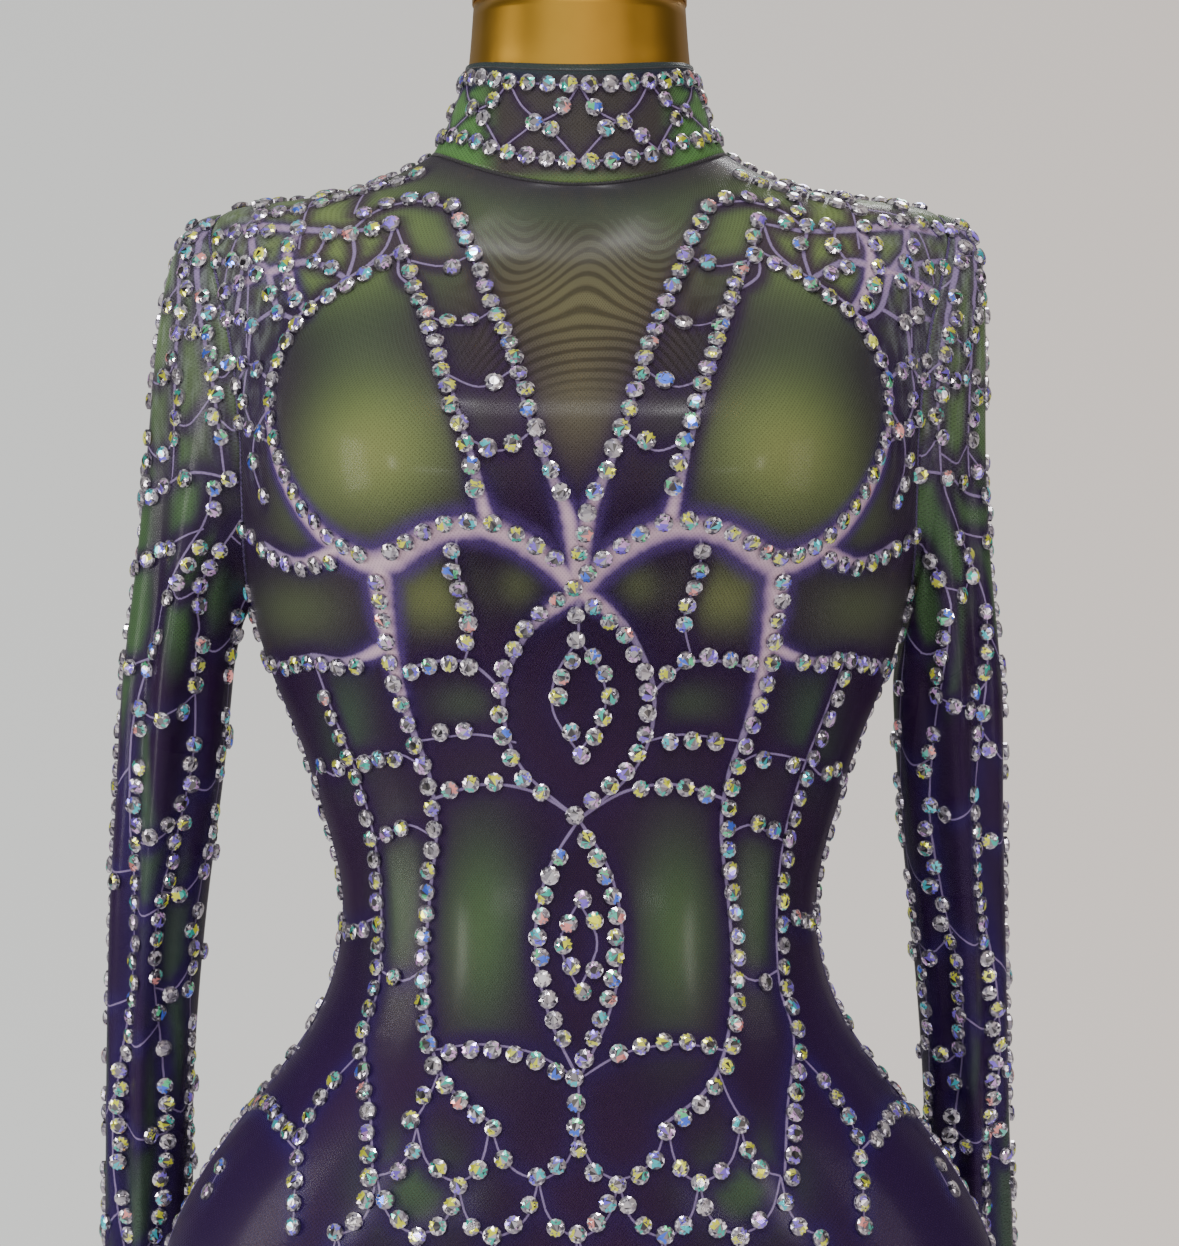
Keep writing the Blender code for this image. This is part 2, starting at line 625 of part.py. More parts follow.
def add_pull():
    """The pull tab, hanging from its bar. The object's origin is on the bar's axis."""
    bar = [(math.cos(a) * PULL_BAR, math.sin(a) * PULL_BAR) for a in spread(0, 2 * math.pi, 8)[:-1]]
    outer = EYE_HALF + CHEEK
    thick = PULL_BAR * 0.9
    bm = bmesh.new()
    ring = [bm.verts.new((-outer, y, z)) for y, z in bar]
    cap = bm.faces.new(ring)
    grown = bmesh.ops.extrude_face_region(bm, geom=[cap])["geom"]
    moved = [item for item in grown if isinstance(item, bmesh.types.BMVert)]
    bmesh.ops.translate(bm, vec=(2 * outer, 0, 0), verts=moved)
    bmesh.ops.recalc_face_normals(bm, faces=bm.faces)
    pull = add_object("zip_pull", bm, "metal", smooth=False)
    pull.location = (0, PULL_AXIS_Y, PULL_AXIS_Z)
    outline = [
        (-outer, 0.0),
        (-outer, -EYE_LENGTH),
        (-TAB_HALF, -EYE_LENGTH - TAB_POINT),
        (-TAB_HALF, -TAB_LENGTH + TAB_POINT),
        (-TAB_HALF + TAB_POINT, -TAB_LENGTH),
    ]
    outline += [(-x, z) for x, z in reversed(outline)]
    bm = bmesh.new()
    plate = bm.faces.new([bm.verts.new((x, -thick, z)) for x, z in outline])
    grown = bmesh.ops.extrude_face_region(bm, geom=[plate])["geom"]
    moved = [item for item in grown if isinstance(item, bmesh.types.BMVert)]
    bmesh.ops.translate(bm, vec=(0, 2 * thick, 0), verts=moved)
    bmesh.ops.recalc_face_normals(bm, faces=bm.faces)
    tab = add_object("pull_tab", bm, "metal", smooth=False)
    bm = bmesh.new()
    add_box(bm, (-EYE_HALF, -0.01, -EYE_LENGTH), (EYE_HALF, 0.01, 0.01))
    eye = add_object("pull_eye", bm, "metal", smooth=False)
    for helper in (tab, eye):
        helper.location = pull.location
        helper.hide_render = True
        helper.display_type = "WIRE"
    cut = tab.modifiers.new("eye", "BOOLEAN")
    cut.operation = "DIFFERENCE"
    cut.object = eye
    join = pull.modifiers.new("tab", "BOOLEAN")
    join.operation = "UNION"
    join.object = tab


def main():
    for old in list(bpy.data.objects):
        bpy.data.objects.remove(old)
    add_form()
    add_stand()
    add_front()
    add_backs()
    add_sleeves()
    add_collar()
    add_zip_tape()
    add_slider()
    add_pull()


main()
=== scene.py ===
# %% [markdown]
# # A crystal-covered catsuit on a gold dress form
# A stage catsuit is cut from sheer stretch mesh, printed, sewn, and then covered with flat-back
# crystals that are glued on one by one. Here the cut and the size come from the solid model,
# which this notebook loads first. What it adds is the look: thin cloth with its print, the
# glossy form that shines through it, thousands of stones, seams, the zip's teeth and the light.

# %% Tools and the frame
import json
import math
import random
from collections import namedtuple
from contextlib import contextmanager
from functools import partial

import bmesh
import bpy
import numpy as np
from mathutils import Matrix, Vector, kdtree, noise
from mathutils.bvhtree import BVHTree

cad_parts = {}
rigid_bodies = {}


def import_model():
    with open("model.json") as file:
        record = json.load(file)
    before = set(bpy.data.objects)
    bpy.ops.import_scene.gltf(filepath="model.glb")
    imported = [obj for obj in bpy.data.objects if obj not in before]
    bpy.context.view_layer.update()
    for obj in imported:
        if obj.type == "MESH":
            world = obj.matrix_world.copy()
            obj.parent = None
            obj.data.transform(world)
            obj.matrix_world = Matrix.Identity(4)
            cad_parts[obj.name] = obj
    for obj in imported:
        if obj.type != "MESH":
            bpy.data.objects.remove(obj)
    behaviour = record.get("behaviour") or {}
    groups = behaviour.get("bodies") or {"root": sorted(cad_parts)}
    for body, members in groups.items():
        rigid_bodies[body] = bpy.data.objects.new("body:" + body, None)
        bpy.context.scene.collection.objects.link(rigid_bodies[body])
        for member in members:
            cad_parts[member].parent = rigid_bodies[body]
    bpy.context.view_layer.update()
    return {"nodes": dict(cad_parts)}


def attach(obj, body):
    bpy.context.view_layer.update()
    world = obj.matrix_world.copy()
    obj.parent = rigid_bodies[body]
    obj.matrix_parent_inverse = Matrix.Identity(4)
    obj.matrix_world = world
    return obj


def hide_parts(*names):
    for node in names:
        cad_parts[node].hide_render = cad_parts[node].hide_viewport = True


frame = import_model()
MM = 0.001
print("solids:", ", ".join(sorted(frame["nodes"])))

# %% [markdown]
# ## Helpers for working as by hand
# Blender's tools act on what is selected, so everything is deselected before one object is
# picked. A modifier is added, set and applied at once, which leaves a plain mesh.


# %% Picking, applying and measuring
def pick(obj):
    """Makes one object the only selected one, and the active one."""
    if bpy.context.mode != "OBJECT":
        bpy.ops.object.mode_set(mode="OBJECT")
    bpy.ops.object.select_all(action="DESELECT")
    obj.select_set(True)
    bpy.context.view_layer.objects.active = obj


@contextmanager
def editing(obj):
    """Edit mode on one object, all of it selected."""
    pick(obj)
    bpy.ops.object.mode_set(mode="EDIT")
    bpy.ops.mesh.select_all(action="SELECT")
    yield
    bpy.ops.object.mode_set(mode="OBJECT")


def apply_modifier(obj, kind, **settings):
    """Adds a modifier, sets it and applies it."""
    pick(obj)
    bpy.ops.object.modifier_add(type=kind)
    modifier = obj.modifiers[-1]
    for name, value in settings.items():
        setattr(modifier, name, value)
    bpy.ops.object.modifier_apply(modifier=modifier.name)


def object_from(name, points, faces=(), edges=()):
    """An object at the origin, from points and the faces or edges between them."""
    mesh = bpy.data.meshes.new(name)
    mesh.from_pydata(np.asarray(points).tolist(), list(edges), list(faces))
    made = bpy.data.objects.new(name, mesh)
    bpy.context.scene.collection.objects.link(made)
    return made


def turn_outward(obj):
    with editing(obj):
        bpy.ops.mesh.normals_make_consistent(inside=False)


def triangles(obj):
    return sum(len(polygon.vertices) - 2 for polygon in obj.data.polygons)


def rows_of(elements, name, width=3, kind=float):
    """What a mesh's points, edges, faces or corners say under a name, one row each."""
    flat = np.empty(len(elements) * width, kind)
    elements.foreach_get(name, flat)
    return flat.reshape(-1, width)


def points_of(obj):
    return rows_of(obj.data.vertices, "co")


def corner_points(mesh):
    """The number of the point at each corner of each face."""
    return rows_of(mesh.loops, "vertex_index", 1, int).ravel()


def unit(rows):
    """Rows turned to directions of length one."""
    return rows / (np.linalg.norm(rows, axis=-1, keepdims=True) + 1e-12)


def smoothstep(low, high, value):
    share = np.clip((value - low) / (high - low), 0, 1)
    return share * share * (3 - 2 * share)


# %% [markdown]
# ## The camera
# The photograph is taken level with the bust, straight from the front, with a long lens, so the
# camera stands 1.3 m away and sees 0.586 m from the hips to the neck.

# %% Camera
VIEW_DISTANCE, VIEW_HALF_HEIGHT = 1.30, 0.293
camera_data = bpy.data.cameras.new("camera")
camera_data.sensor_fit = "VERTICAL"
camera_data.angle = 2 * math.atan(VIEW_HALF_HEIGHT / VIEW_DISTANCE)
camera = bpy.data.objects.new("camera", camera_data)
camera.location = (0.0047, -VIEW_DISTANCE, 1.170)
camera.rotation_euler = (math.radians(90), 0, 0)
bpy.context.scene.collection.objects.link(camera)
bpy.context.scene.camera = camera
print("camera at", tuple(camera.location))

# %% [markdown]
# ## Building materials
# Colours are chosen as sRGB hex values, as a picture shows them, and one function turns them
# into the linear values that a renderer adds up. One small function adds a node, sets it and
# links it.


# %% Colour and nodes
def linear(hex_colour):
    """An sRGB hex colour as linear red, green, blue and alpha."""
    channels = [int(hex_colour[k : k + 2], 16) / 255 for k in (1, 3, 5)]
    return [((c + 0.055) / 1.055) ** 2.4 if c > 0.04045 else c / 12.92 for c in channels] + [1.0]


def add_node(tree, kind, *inputs, out=0, **settings):
    """Adds a node with its settings and inputs, and returns one of its outputs, or all where out is None.
    Inputs come in order, or in a dictionary by name or number, and each is a value, a hex colour, or an
    output to link from."""
    made = tree.nodes.new("ShaderNode" + kind)
    for name, value in settings.items():
        setattr(made, name, value)
    named = inputs[0] if inputs and isinstance(inputs[0], dict) else dict(enumerate(inputs))
    for key, value in named.items():
        if isinstance(value, bpy.types.NodeSocket):
            tree.links.new(value, made.inputs[key])
        else:
            made.inputs[key].default_value = linear(value) if isinstance(value, str) else value
    return made.outputs if out is None else made.outputs[out]


def new_finish(name, **constants):
    """A new material, its Principled shader with constant values set, and what adds nodes to its tree."""
    made = bpy.data.materials.new(name)
    made.use_nodes = True
    shader = made.node_tree.nodes["Principled BSDF"]
    for socket, value in constants.items():
        shader.inputs[socket.replace("_", " ")].default_value = value
    return made, shader, partial(add_node, made.node_tree)


def link(shader, **outputs):
    """Links outputs to the shader's sockets."""
    for socket, output in outputs.items():
        shader.id_data.links.new(output, shader.inputs[socket.replace("_", " ")])


# %% [markdown]
# ## Printed power mesh
# Power mesh is a sheer nylon and elastane knit, dyed by sublimation printing. Seen close it is a
# fine diamond net, so skin, or here gold, shows through it. The print is deep purple with soft
# green glows inside the cells of a web, and the web's lines are pale lilac with a blue-purple
# haze. The cloth carries the print in three attributes that are worked out further down:
# `veins`, the distances to the three nearest lines in line widths, `bands`, how broad and pale
# each of the three is, and `dye`, how much green, olive and haze there is.

# %% Printed mesh
NET_PITCH = 0.0019  # drawn as coarse as it needs to show: the real net is about 0.8 mm
SOFT = {"interpolation_type": "SMOOTHSTEP"}
COLOURS = {"data_type": "RGBA", "out": 2}  # a Mix node between the colours at its inputs 6 and 7


def net_wave(add, vector):
    """Diagonal threads, one every NET_PITCH along either axis of the vector."""
    return add("TexWave", {"Vector": vector, "Scale": 2 * math.pi / (10 * NET_PITCH)}, out="Fac",
               wave_type="BANDS", bands_direction="DIAGONAL", wave_profile="SIN")


def frost(add, place):
    """How milky the cloth is: in flecks at the outer shoulder and the sleeve head, where it is drawn tight."""
    x, _, z = add("SeparateXYZ", place, out=None)
    outer = add("MapRange", add("Math", x, operation="ABSOLUTE"), 0.124, 0.156, **SOFT)
    high = add("MapRange", z, 1.20, 1.33, **SOFT)
    drawn_out = add("Mapping", {"Vector": place, "Scale": (1.0, 1.0, 0.28)})
    flecks = add("TexNoise", {"Vector": drawn_out, "Scale": 260.0, "Detail": 3.0})
    flecks = add("MapRange", flecks, 0.42, 0.72, 0.08, 0.42, **SOFT)
    return add("Math", add("Math", outer, high, operation="MULTIPLY"), flecks, operation="MULTIPLY")


def printed_power_mesh():
    material, shader, add = new_finish("printed_power_mesh", Roughness=0.5, Specular_IOR_Level=0.10,
                                       Sheen_Weight=0.04, Sheen_Roughness=0.4,
                                       Coat_Weight=0.14, Coat_Roughness=0.17)
    place = add("TexCoord", out="Object")
    green, olive, haze = add("SeparateColor", add("Attribute", out="Color", attribute_name="dye"), out=None)
    veins, bands = (add("SeparateXYZ", add("Attribute", out="Vector", attribute_name=name), out=None)
                    for name in ("veins", "bands"))
    uneven = add("TexNoise", {"Vector": place, "Scale": 160.0, "Detail": 2.0})
    uneven = add("MapRange", uneven, 0, 1, -0.3, 0.3)
    line, broad, core, halo = 0.0, 0.0, 0.0, 0.0
    for k in range(3):
        away = add("Math", add("Math", veins[k], operation="ABSOLUTE"), uneven, operation="ADD")
        inked = add("MapRange", away, 0.6, 1.4, 1, 0, **SOFT)
        near = add("MapRange", away, 0.7, 3.0, 1, 0, **SOFT)
        inmost = add("MapRange", away, 0.1, 1.05, 1, 0, **SOFT)
        line = add("Math", line, inked, operation="MAXIMUM")
        broad, core, halo = (
            add("Math", so_far, add("Math", share, bands[k], operation="MULTIPLY"), operation="MAXIMUM")
            for so_far, share in ((broad, inked), (core, inmost), (halo, near))
        )
    patches = add("TexNoise", {"Vector": place, "Scale": 14.0, "Detail": 3.0})
    printed = add("Mix", {0: patches, 6: "#1d0c2d", 7: "#33173e"}, **COLOURS)
    pale = add("Mix", {0: patches, 6: "#c8a6ba", 7: "#e2c6d2"}, **COLOURS)
    halo = add("Math", halo, 0.85, operation="MULTIPLY")
    dyes = [(green, "#4b8045"), (olive, "#8f8d58"), (haze, "#2c1a5c"), (frost(add, place), "#9aa5a2"),
            (halo, "#583f80"), (line, "#84749c"), (broad, "#9c7fa6"), (core, pale),
            # the last colour is painted shade: dark moire fringes at the middle of the chest
            (painted_moire_shade(add, place), "#211a16")]
    for share, colour in dyes:
        printed = add("Mix", {0: share, 6: printed, 7: colour}, **COLOURS)
    cloth = add("UVMap", uv_map="cloth")
    turned = add("Mapping", {"Vector": cloth, "Scale": (-1.0, 1.0, 1.0)})
    threads = add("Math", net_wave(add, cloth), net_wave(add, turned), operation="MINIMUM")
    solid = add("MapRange", threads, 0.15, 0.85, 0.84, 0.56)
    denser = add("Math", line, 0.2, operation="MULTIPLY")
    cover = add("Math", solid, denser, operation="ADD", use_clamp=True)
    bump = add("Bump", {"Height": threads, "Strength": 0.25, "Distance": 0.0003})
    link(shader, Base_Color=printed, Alpha=cover, Normal=bump)
    return material


# %% [markdown]
# Where two fine nets lie over a shiny surface, they beat against each other and draw wide soft
# fringes of light and shade, called moire. Here that shade is painted into the cloth's colour, as
# dark fringes at the middle of the chest. Each fringe is a contour line of a smooth landscape:
# arches over the breastbone that turn into a double wave below the neck.

# %% Painted moire shade at the chest
FRINGE, FRINGE_MIDDLE = 5.2 * MM, 0.004
WAVE_LENGTH, WAVE_HEIGHT = 60 * MM, 10.5 * MM
ARCH = 14.0  # how fast the arches fall away from the middle, in 1/m
CHEST_LOW, CHEST_HIGH, CHEST_WIDE = 1.256, 1.358, 0.068


def painted_moire_shade(add, place):
    """How dark the painted shade of the fringes is."""
    x, y, z = add("SeparateXYZ", place, out=None)
    aside = add("Math", x, FRINGE_MIDDLE, operation="SUBTRACT")
    turns = add("Math", aside, 2 * math.pi / WAVE_LENGTH, operation="MULTIPLY")
    double_wave = add("Math", add("Math", turns, operation="COSINE"), WAVE_HEIGHT, operation="MULTIPLY")
    arch = add("Math", add("Math", aside, aside, operation="MULTIPLY"), -ARCH, operation="MULTIPLY")
    high = add("MapRange", z, 1.290, 1.330, **SOFT)
    above_arch = add("Math", double_wave, arch, operation="SUBTRACT")
    wave = add("Math", above_arch, high, arch, operation="MULTIPLY_ADD")
    slack = add("TexNoise", {"Vector": place, "Scale": 26.0, "Detail": 0.0})
    level = add("Math", z, wave, operation="SUBTRACT")
    level = add("Math", slack, 0.012, level, operation="MULTIPLY_ADD")
    turns = add("Math", level, 2 * math.pi / FRINGE, operation="MULTIPLY")
    fringes = add("MapRange", add("Math", turns, operation="SINE"), -0.5, 1.0, **SOFT)
    away = add("Math", aside, operation="ABSOLUTE")
    fade = add("MapRange", away, CHEST_WIDE * 0.5, CHEST_WIDE, 0.6, 0, **SOFT)
    for low, top in ((CHEST_LOW, CHEST_LOW + 0.03), (CHEST_HIGH, CHEST_HIGH - 0.02)):
        fade = add("Math", fade, add("MapRange", z, low, top, **SOFT), operation="MULTIPLY")
    front = add("Math", y, 0.0, operation="LESS_THAN")
    return add("Math", add("Math", fringes, fade, operation="MULTIPLY"), front, operation="MULTIPLY")


mesh_cloth = printed_power_mesh()
print("material:", mesh_cloth.name)

# %% [markdown]
# ## Gold lacquer on the form
# The form is a moulded shell under gloss gold lacquer. The lacquer is metallic paint, which is
# smoother and darker at its edges than real gold, with a clear coat on top and a faint ripple
# from spraying.


# %% Gold lacquer
def gold_lacquer(name, roughness):
    material, shader, add = new_finish(name, Metallic=1.0, Coat_Weight=0.18, Coat_Roughness=0.12)
    place = add("TexCoord", out="Object")
    cloudy = add("TexNoise", {"Vector": place, "Scale": 22.0, "Detail": 4.0})
    flakes = add("TexNoise", {"Vector": place, "Scale": 900.0, "Detail": 1.0})
    link(shader, Base_Color=add("Mix", {0: cloudy, 6: "#b98a2c", 7: "#cfa040"}, **COLOURS),
         Roughness=add("MapRange", cloudy, 0, 1, roughness - 0.05, roughness + 0.07),
         Normal=add("Bump", {"Height": flakes, "Strength": 0.05, "Distance": 0.0002}))
    return material


form_gold = gold_lacquer("gold_lacquer_on_shell", 0.33)
stand_gold = gold_lacquer("gold_lacquer_on_steel", 0.20)
print("materials:", form_gold.name, stand_gold.name)

# %% [markdown]
# ## The dress form
# The solid has wide flat facets. A copy whose triangles are joined back into quads can be
# subdivided, which rounds it, and the gloss then runs over it without breaks. The subdivision
# keeps corners, so the form's underside and neck stay flat.

# %% Copy a solid as quads
ANY_SHAPE = math.pi  # no limit on the faces that may join into a quad
DOUBLES = 0.01 * MM


def copy_as_quads(node, name):
    """A copy of a node's mesh with its doubles merged and its triangles joined into quads."""
    made = bpy.data.objects.new(name, frame["nodes"][node].data.copy())
    bpy.context.scene.collection.objects.link(made)
    made.data.materials.clear()
    with editing(made):
        bpy.ops.mesh.remove_doubles(threshold=DOUBLES)
        bpy.ops.mesh.tris_convert_to_quads(face_threshold=ANY_SHAPE, shape_threshold=ANY_SHAPE)
    return made


def subdivided(obj):
    apply_modifier(obj, "SUBSURF", levels=2, render_levels=2, boundary_smooth="PRESERVE_CORNERS")


def shaded_smooth(obj, material):
    """Gives an object its material, and smooth shading that keeps its sharp edges."""
    obj.data.materials.append(material)
    pick(obj)
    bpy.ops.object.shade_smooth_by_angle(angle=math.radians(50))


form = copy_as_quads("form_body", "dress_form")
with editing(form):
    bpy.ops.mesh.select_mode(type="EDGE")
    bpy.ops.mesh.select_all(action="DESELECT")
    bpy.ops.mesh.edges_select_sharp(sharpness=math.radians(60))
    bpy.ops.transform.edge_crease(value=1.0)
subdivided(form)
shaded_smooth(form, form_gold)
print("dress form:", triangles(form), "triangles")

# %% [markdown]
# The neck cap, the pole and the base are round pieces. Their solids have flat sides, so each is
# spun anew in small steps, from the heights and radii of its solid.

# %% Round gold pieces
POLE = (0.085, 0.004)
HUB = 0.0245
SPIN_STEPS = 128


def turned(name, points, axis=(0, 0)):
    """A round piece, spun from the heights and radii of a round solid's points."""
    profile = [(points[:, 2].min(), 0.0)]
    for row in sorted(zip(points[:, 2].round(5), np.hypot(*(points[:, :2] - axis).T))):
        if row[1] > 2 * MM and math.dist(row, profile[-1]) > 0.1 * MM:
            profile.append(row)
    profile.append((points[:, 2].max(), 0.0))
    made = object_from(name, [(axis[0] + radius, axis[1], z) for z, radius in profile],
                       edges=[(k, k + 1) for k in range(len(profile) - 1)])
    with editing(made):
        bpy.ops.mesh.spin(steps=SPIN_STEPS, angle=2 * math.pi, center=(*axis, 0), axis=(0, 0, 1))
        bpy.ops.mesh.select_all(action="SELECT")
        bpy.ops.mesh.remove_doubles(threshold=DOUBLES)
    turn_outward(made)
    return made


cap_points, pole_points, base_points = (points_of(frame["nodes"][node])
                                        for node in ("neck_cap", "stand_pole", "stand_base"))
on_hub = np.hypot(*(base_points[:, :2] - POLE).T) < HUB
round_cap = turned("round_neck_cap", cap_points)
round_pole = turned("round_pole", pole_points, POLE)
round_hub = turned("round_hub", base_points[on_hub], POLE)
round_base = turned("round_base", base_points[~on_hub])
pick(round_base)
round_hub.select_set(True)
bpy.ops.object.join()
for made, gold in ((round_cap, form_gold), (round_pole, stand_gold), (round_base, stand_gold)):
    shaded_smooth(made, gold)
print("turned:", [triangles(made) for made in (round_cap, round_pole, round_base)], "triangles")

# %% [markdown]
# ## Cloth from the solid's outer wall
# Each panel of the solid is a wall 1.2 mm thick with a rim. Its outer face alone is the cloth's
# surface. The rim is found by its short edges, and what is left falls apart into two sheets, of
# which the outer one is larger. It is subdivided and then cut finer until no edge is longer
# than the print needs.

# %% Outer sheet of a wall
WALL = 1.9 * MM  # every edge that crosses the wall is shorter than this


def outer_sheet(node, name):
    made = copy_as_quads(node, name)
    sheet = bmesh.new()
    sheet.from_mesh(made.data)
    rim = [face for face in sheet.faces if any(edge.calc_length() < WALL for edge in face.edges)]
    bmesh.ops.delete(sheet, geom=rim, context="FACES")
    unseen, sheets = set(sheet.faces), []
    while unseen:
        found, waiting = [], [unseen.pop()]
        while waiting:
            found.append(waiting.pop())
            for beside in {other for edge in found[-1].edges for other in edge.link_faces} & unseen:
                unseen.remove(beside)
                waiting.append(beside)
        sheets.append(found)
    sheets.sort(key=lambda faces: -sum(face.calc_area() for face in faces))
    for inner in sheets[1:]:
        bmesh.ops.delete(sheet, geom=inner, context="FACES")
    sheet.to_mesh(made.data)
    sheet.free()
    return made


def cut_finer(obj, longest, above=0.0):
    """Cuts every edge that is longer than `longest` and higher than `above`, until none is left."""
    while True:
        with editing(obj):
            bpy.ops.mesh.select_mode(type="EDGE")
            bpy.ops.mesh.select_all(action="DESELECT")
        low, high = points_of(obj)[rows_of(obj.data.edges, "vertices", 2, int)].transpose(1, 0, 2)
        chosen = (np.linalg.norm(high - low, axis=1) > longest) & (np.maximum(low, high)[:, 2] > above)
        if not chosen.any():
            return
        obj.data.edges.foreach_set("select", chosen)
        bpy.ops.object.mode_set(mode="EDIT")
        bpy.ops.mesh.subdivide(number_cuts=1)
        bpy.ops.object.mode_set(mode="OBJECT")


# %% Cut the panels
BODY = ["front", "back_left", "back_right"]
SIDES = (("left", 1), ("right", -1))
FINE, MEDIUM, COARSE, HIPS = 4.2 * MM, 5.0 * MM, 10.0 * MM, 0.86
panels = {}
for panel in [*BODY, "sleeve_left", "sleeve_right", "collar"]:
    cloth = panels[panel] = outer_sheet(panel, "cloth_" + panel)
    subdivided(cloth)
    if panel in BODY:
        cut_finer(cloth, COARSE)
        cut_finer(cloth, FINE if panel == "front" else MEDIUM, above=HIPS)
    else:
        cut_finer(cloth, FINE)
    print(cloth.name, triangles(cloth), "triangles on the outer face")

# %% [markdown]
# ## Drawing on the cloth
# The web of lines is drawn flat, as a pattern maker draws it, and then laid on the cloth. A
# chart turns two numbers into a place on the body: as seen from the front, from the back or
# from above, or as an angle and a height round a tube. A ray from the chart's plane finds the
# cloth there.

# %% Charts
Hit = namedtuple("Hit", "point normal")


def tree_of(objects):
    """A search tree over the faces of some objects."""
    points, faces = [], []
    for obj in objects:
        first = len(points)
        points += [vertex.co.copy() for vertex in obj.data.vertices]
        faces += [[k + first for k in polygon.vertices] for polygon in obj.data.polygons]
    return BVHTree.FromPolygons(points, faces)


def shoot(tree, start, way):
    point, normal, _, _ = tree.ray_cast(Vector(start), Vector(way).normalized())
    return None if point is None else Hit(np.array(point), np.array(normal))


def way_at(angle):
    """The level way outward at an angle from the front's centre, in degrees."""
    turn = math.radians(angle)
    return math.sin(turn), -math.cos(turn), 0


body_tree, collar_tree = tree_of(panels[name] for name in BODY), tree_of([panels["collar"]])


def front_chart(x, z):
    return shoot(body_tree, (x * MM, -1, z * MM), (0, 1, 0))


def back_chart(x, z):
    return shoot(body_tree, (x * MM, 1, z * MM), (0, -1, 0))


def top_chart(x, y):
    return shoot(body_tree, (x * MM, y * MM, 2), (0, 0, -1))


def round_chart(angle, z):
    """An angle from the front's centre, and a height, round the body."""
    return shoot(body_tree, (0, 0, z * MM), way_at(angle))


def collar_chart(angle, share):
    """An angle from the front's centre, and a share of the way up the collar."""
    ahead = math.cos(math.radians(angle))
    low = 1390 - ahead ** 2 * (24 if ahead > 0 else -8)
    high = 1430 - ahead ** 2 * (8 if ahead > 0 else -4)
    return shoot(collar_tree, (0, 0, (low + (high - low) * share) * MM), way_at(angle))


def middle_of(points, z, inward):
    """The middle of a tube at a height, moved by a share towards its edge next to the body."""
    level = points[np.abs(points[:, 2] - z) < 9 * MM]
    middle = (level.min(axis=0) + level.max(axis=0)) / 2
    middle[0] += (level[np.abs(level[:, 0]).argmin(), 0] - middle[0]) * inward
    return middle


def tube_chart(tree, points, side, armpit=9.0):
    """A chart of a hanging tube: the angle runs from the side next to the body by way of the front."""
    def chart(angle, z):
        turn = math.radians(angle)
        x, y, _ = middle_of(points, z * MM, float(smoothstep(armpit, armpit + 0.06, z * MM)))
        return shoot(tree, (x, y, z * MM), (-math.cos(turn) * side, -math.sin(turn), 0))
    return chart


body_points = np.vstack([points_of(panels[name]) for name in BODY])
left_leg = body_points[(body_points[:, 0] > 0) & (body_points[:, 2] < 0.79)]
leg_chart = tube_chart(body_tree, left_leg, 1)
sleeve_trees = {side: tree_of([panels["sleeve_" + side]]) for side, _ in SIDES}
sleeve_charts = {
    side: tube_chart(sleeve_trees[side], points_of(panels["sleeve_" + side]), sign, armpit=1.175)
    for side, sign in SIDES
}
print("charts for body, legs, sleeves and collar")

# %% [markdown]
# Rounding moved the form's skin a little, so wherever it comes nearer to the cloth's outer face
# than the knit needs, it is pressed back in.

# %% Fit the form under the cloth
UNDER, REACH = 1.9 * MM, 14 * MM
CAP_SEAM = 1.425  # the neck above it is bare
points, pressed = points_of(form), 0
for k, point in enumerate(points):
    for fitted in (body_tree, collar_tree) if point[2] <= CAP_SEAM else ():
        found, normal, _, away = fitted.find_nearest(Vector(point))
        depth = -(Vector(point) - found).dot(normal)
        if away < REACH and depth < UNDER:
            points[k] = point = np.array(found - normal * UNDER)
            pressed += 1
form.data.vertices.foreach_set("co", points.ravel())
form.data.update()
print("pressed in:", pressed, "points")

# %% [markdown]
# A line goes smoothly through a few points of a chart. It is laid on the cloth, measured along
# its length, and kept as evenly spaced samples. Each sample knows the cloth's normal and the
# line's half width. What is drawn on the wearer's left is mirrored to the right.

# %% Lines on the cloth
SAMPLE = 2.0 * MM
BREAK = 25 * MM  # a wider step between two hits ends a line
CURVE_STEPS = 16
STONE_PITCH = 9.5
WRITTEN, DRAWN = (0, 1.1, 2.2, 9), (0, 0.46, 2.2, 9)  # thin lines are drawn finer than written
Line = namedtuple("Line", "points normals half_widths pitch")


def curve_through(rows):
    """Points on a smooth curve through the rows."""
    rows = np.array(rows, float)
    found = []
    for k in range(len(rows) - 1):
        a, b, c, d = (rows[min(max(k + j, 0), len(rows) - 1)] for j in (-1, 0, 1, 2))
        for u in np.arange(CURVE_STEPS) / CURVE_STEPS:
            found.append(0.5 * (2 * b + (c - a) * u + (2 * a - 5 * b + 4 * c - d) * u**2
                                + (3 * b - a - 3 * c + d) * u**3))
    return found + [rows[-1]]


def evenly(rows, gap, more=1):
    """Rows of numbers along a run, which start with its point, spaced anew at an even gap."""
    along = np.r_[0, np.cumsum(np.linalg.norm(np.diff(rows[:, :3], axis=0), axis=1))]
    places = np.linspace(0, along[-1], max(2, round(along[-1] / gap) + more))
    return np.column_stack([np.interp(places, along, column) for column in rows.T])


def even_line(samples, pitch):
    """A line with even samples of its point, normal and half width."""
    even = evenly(np.array([(*hit.point, *hit.normal, half) for hit, half in samples]), SAMPLE, more=0)
    return Line(even[:, :3], even[:, 3:6], even[:, 6] * MM, pitch * MM)


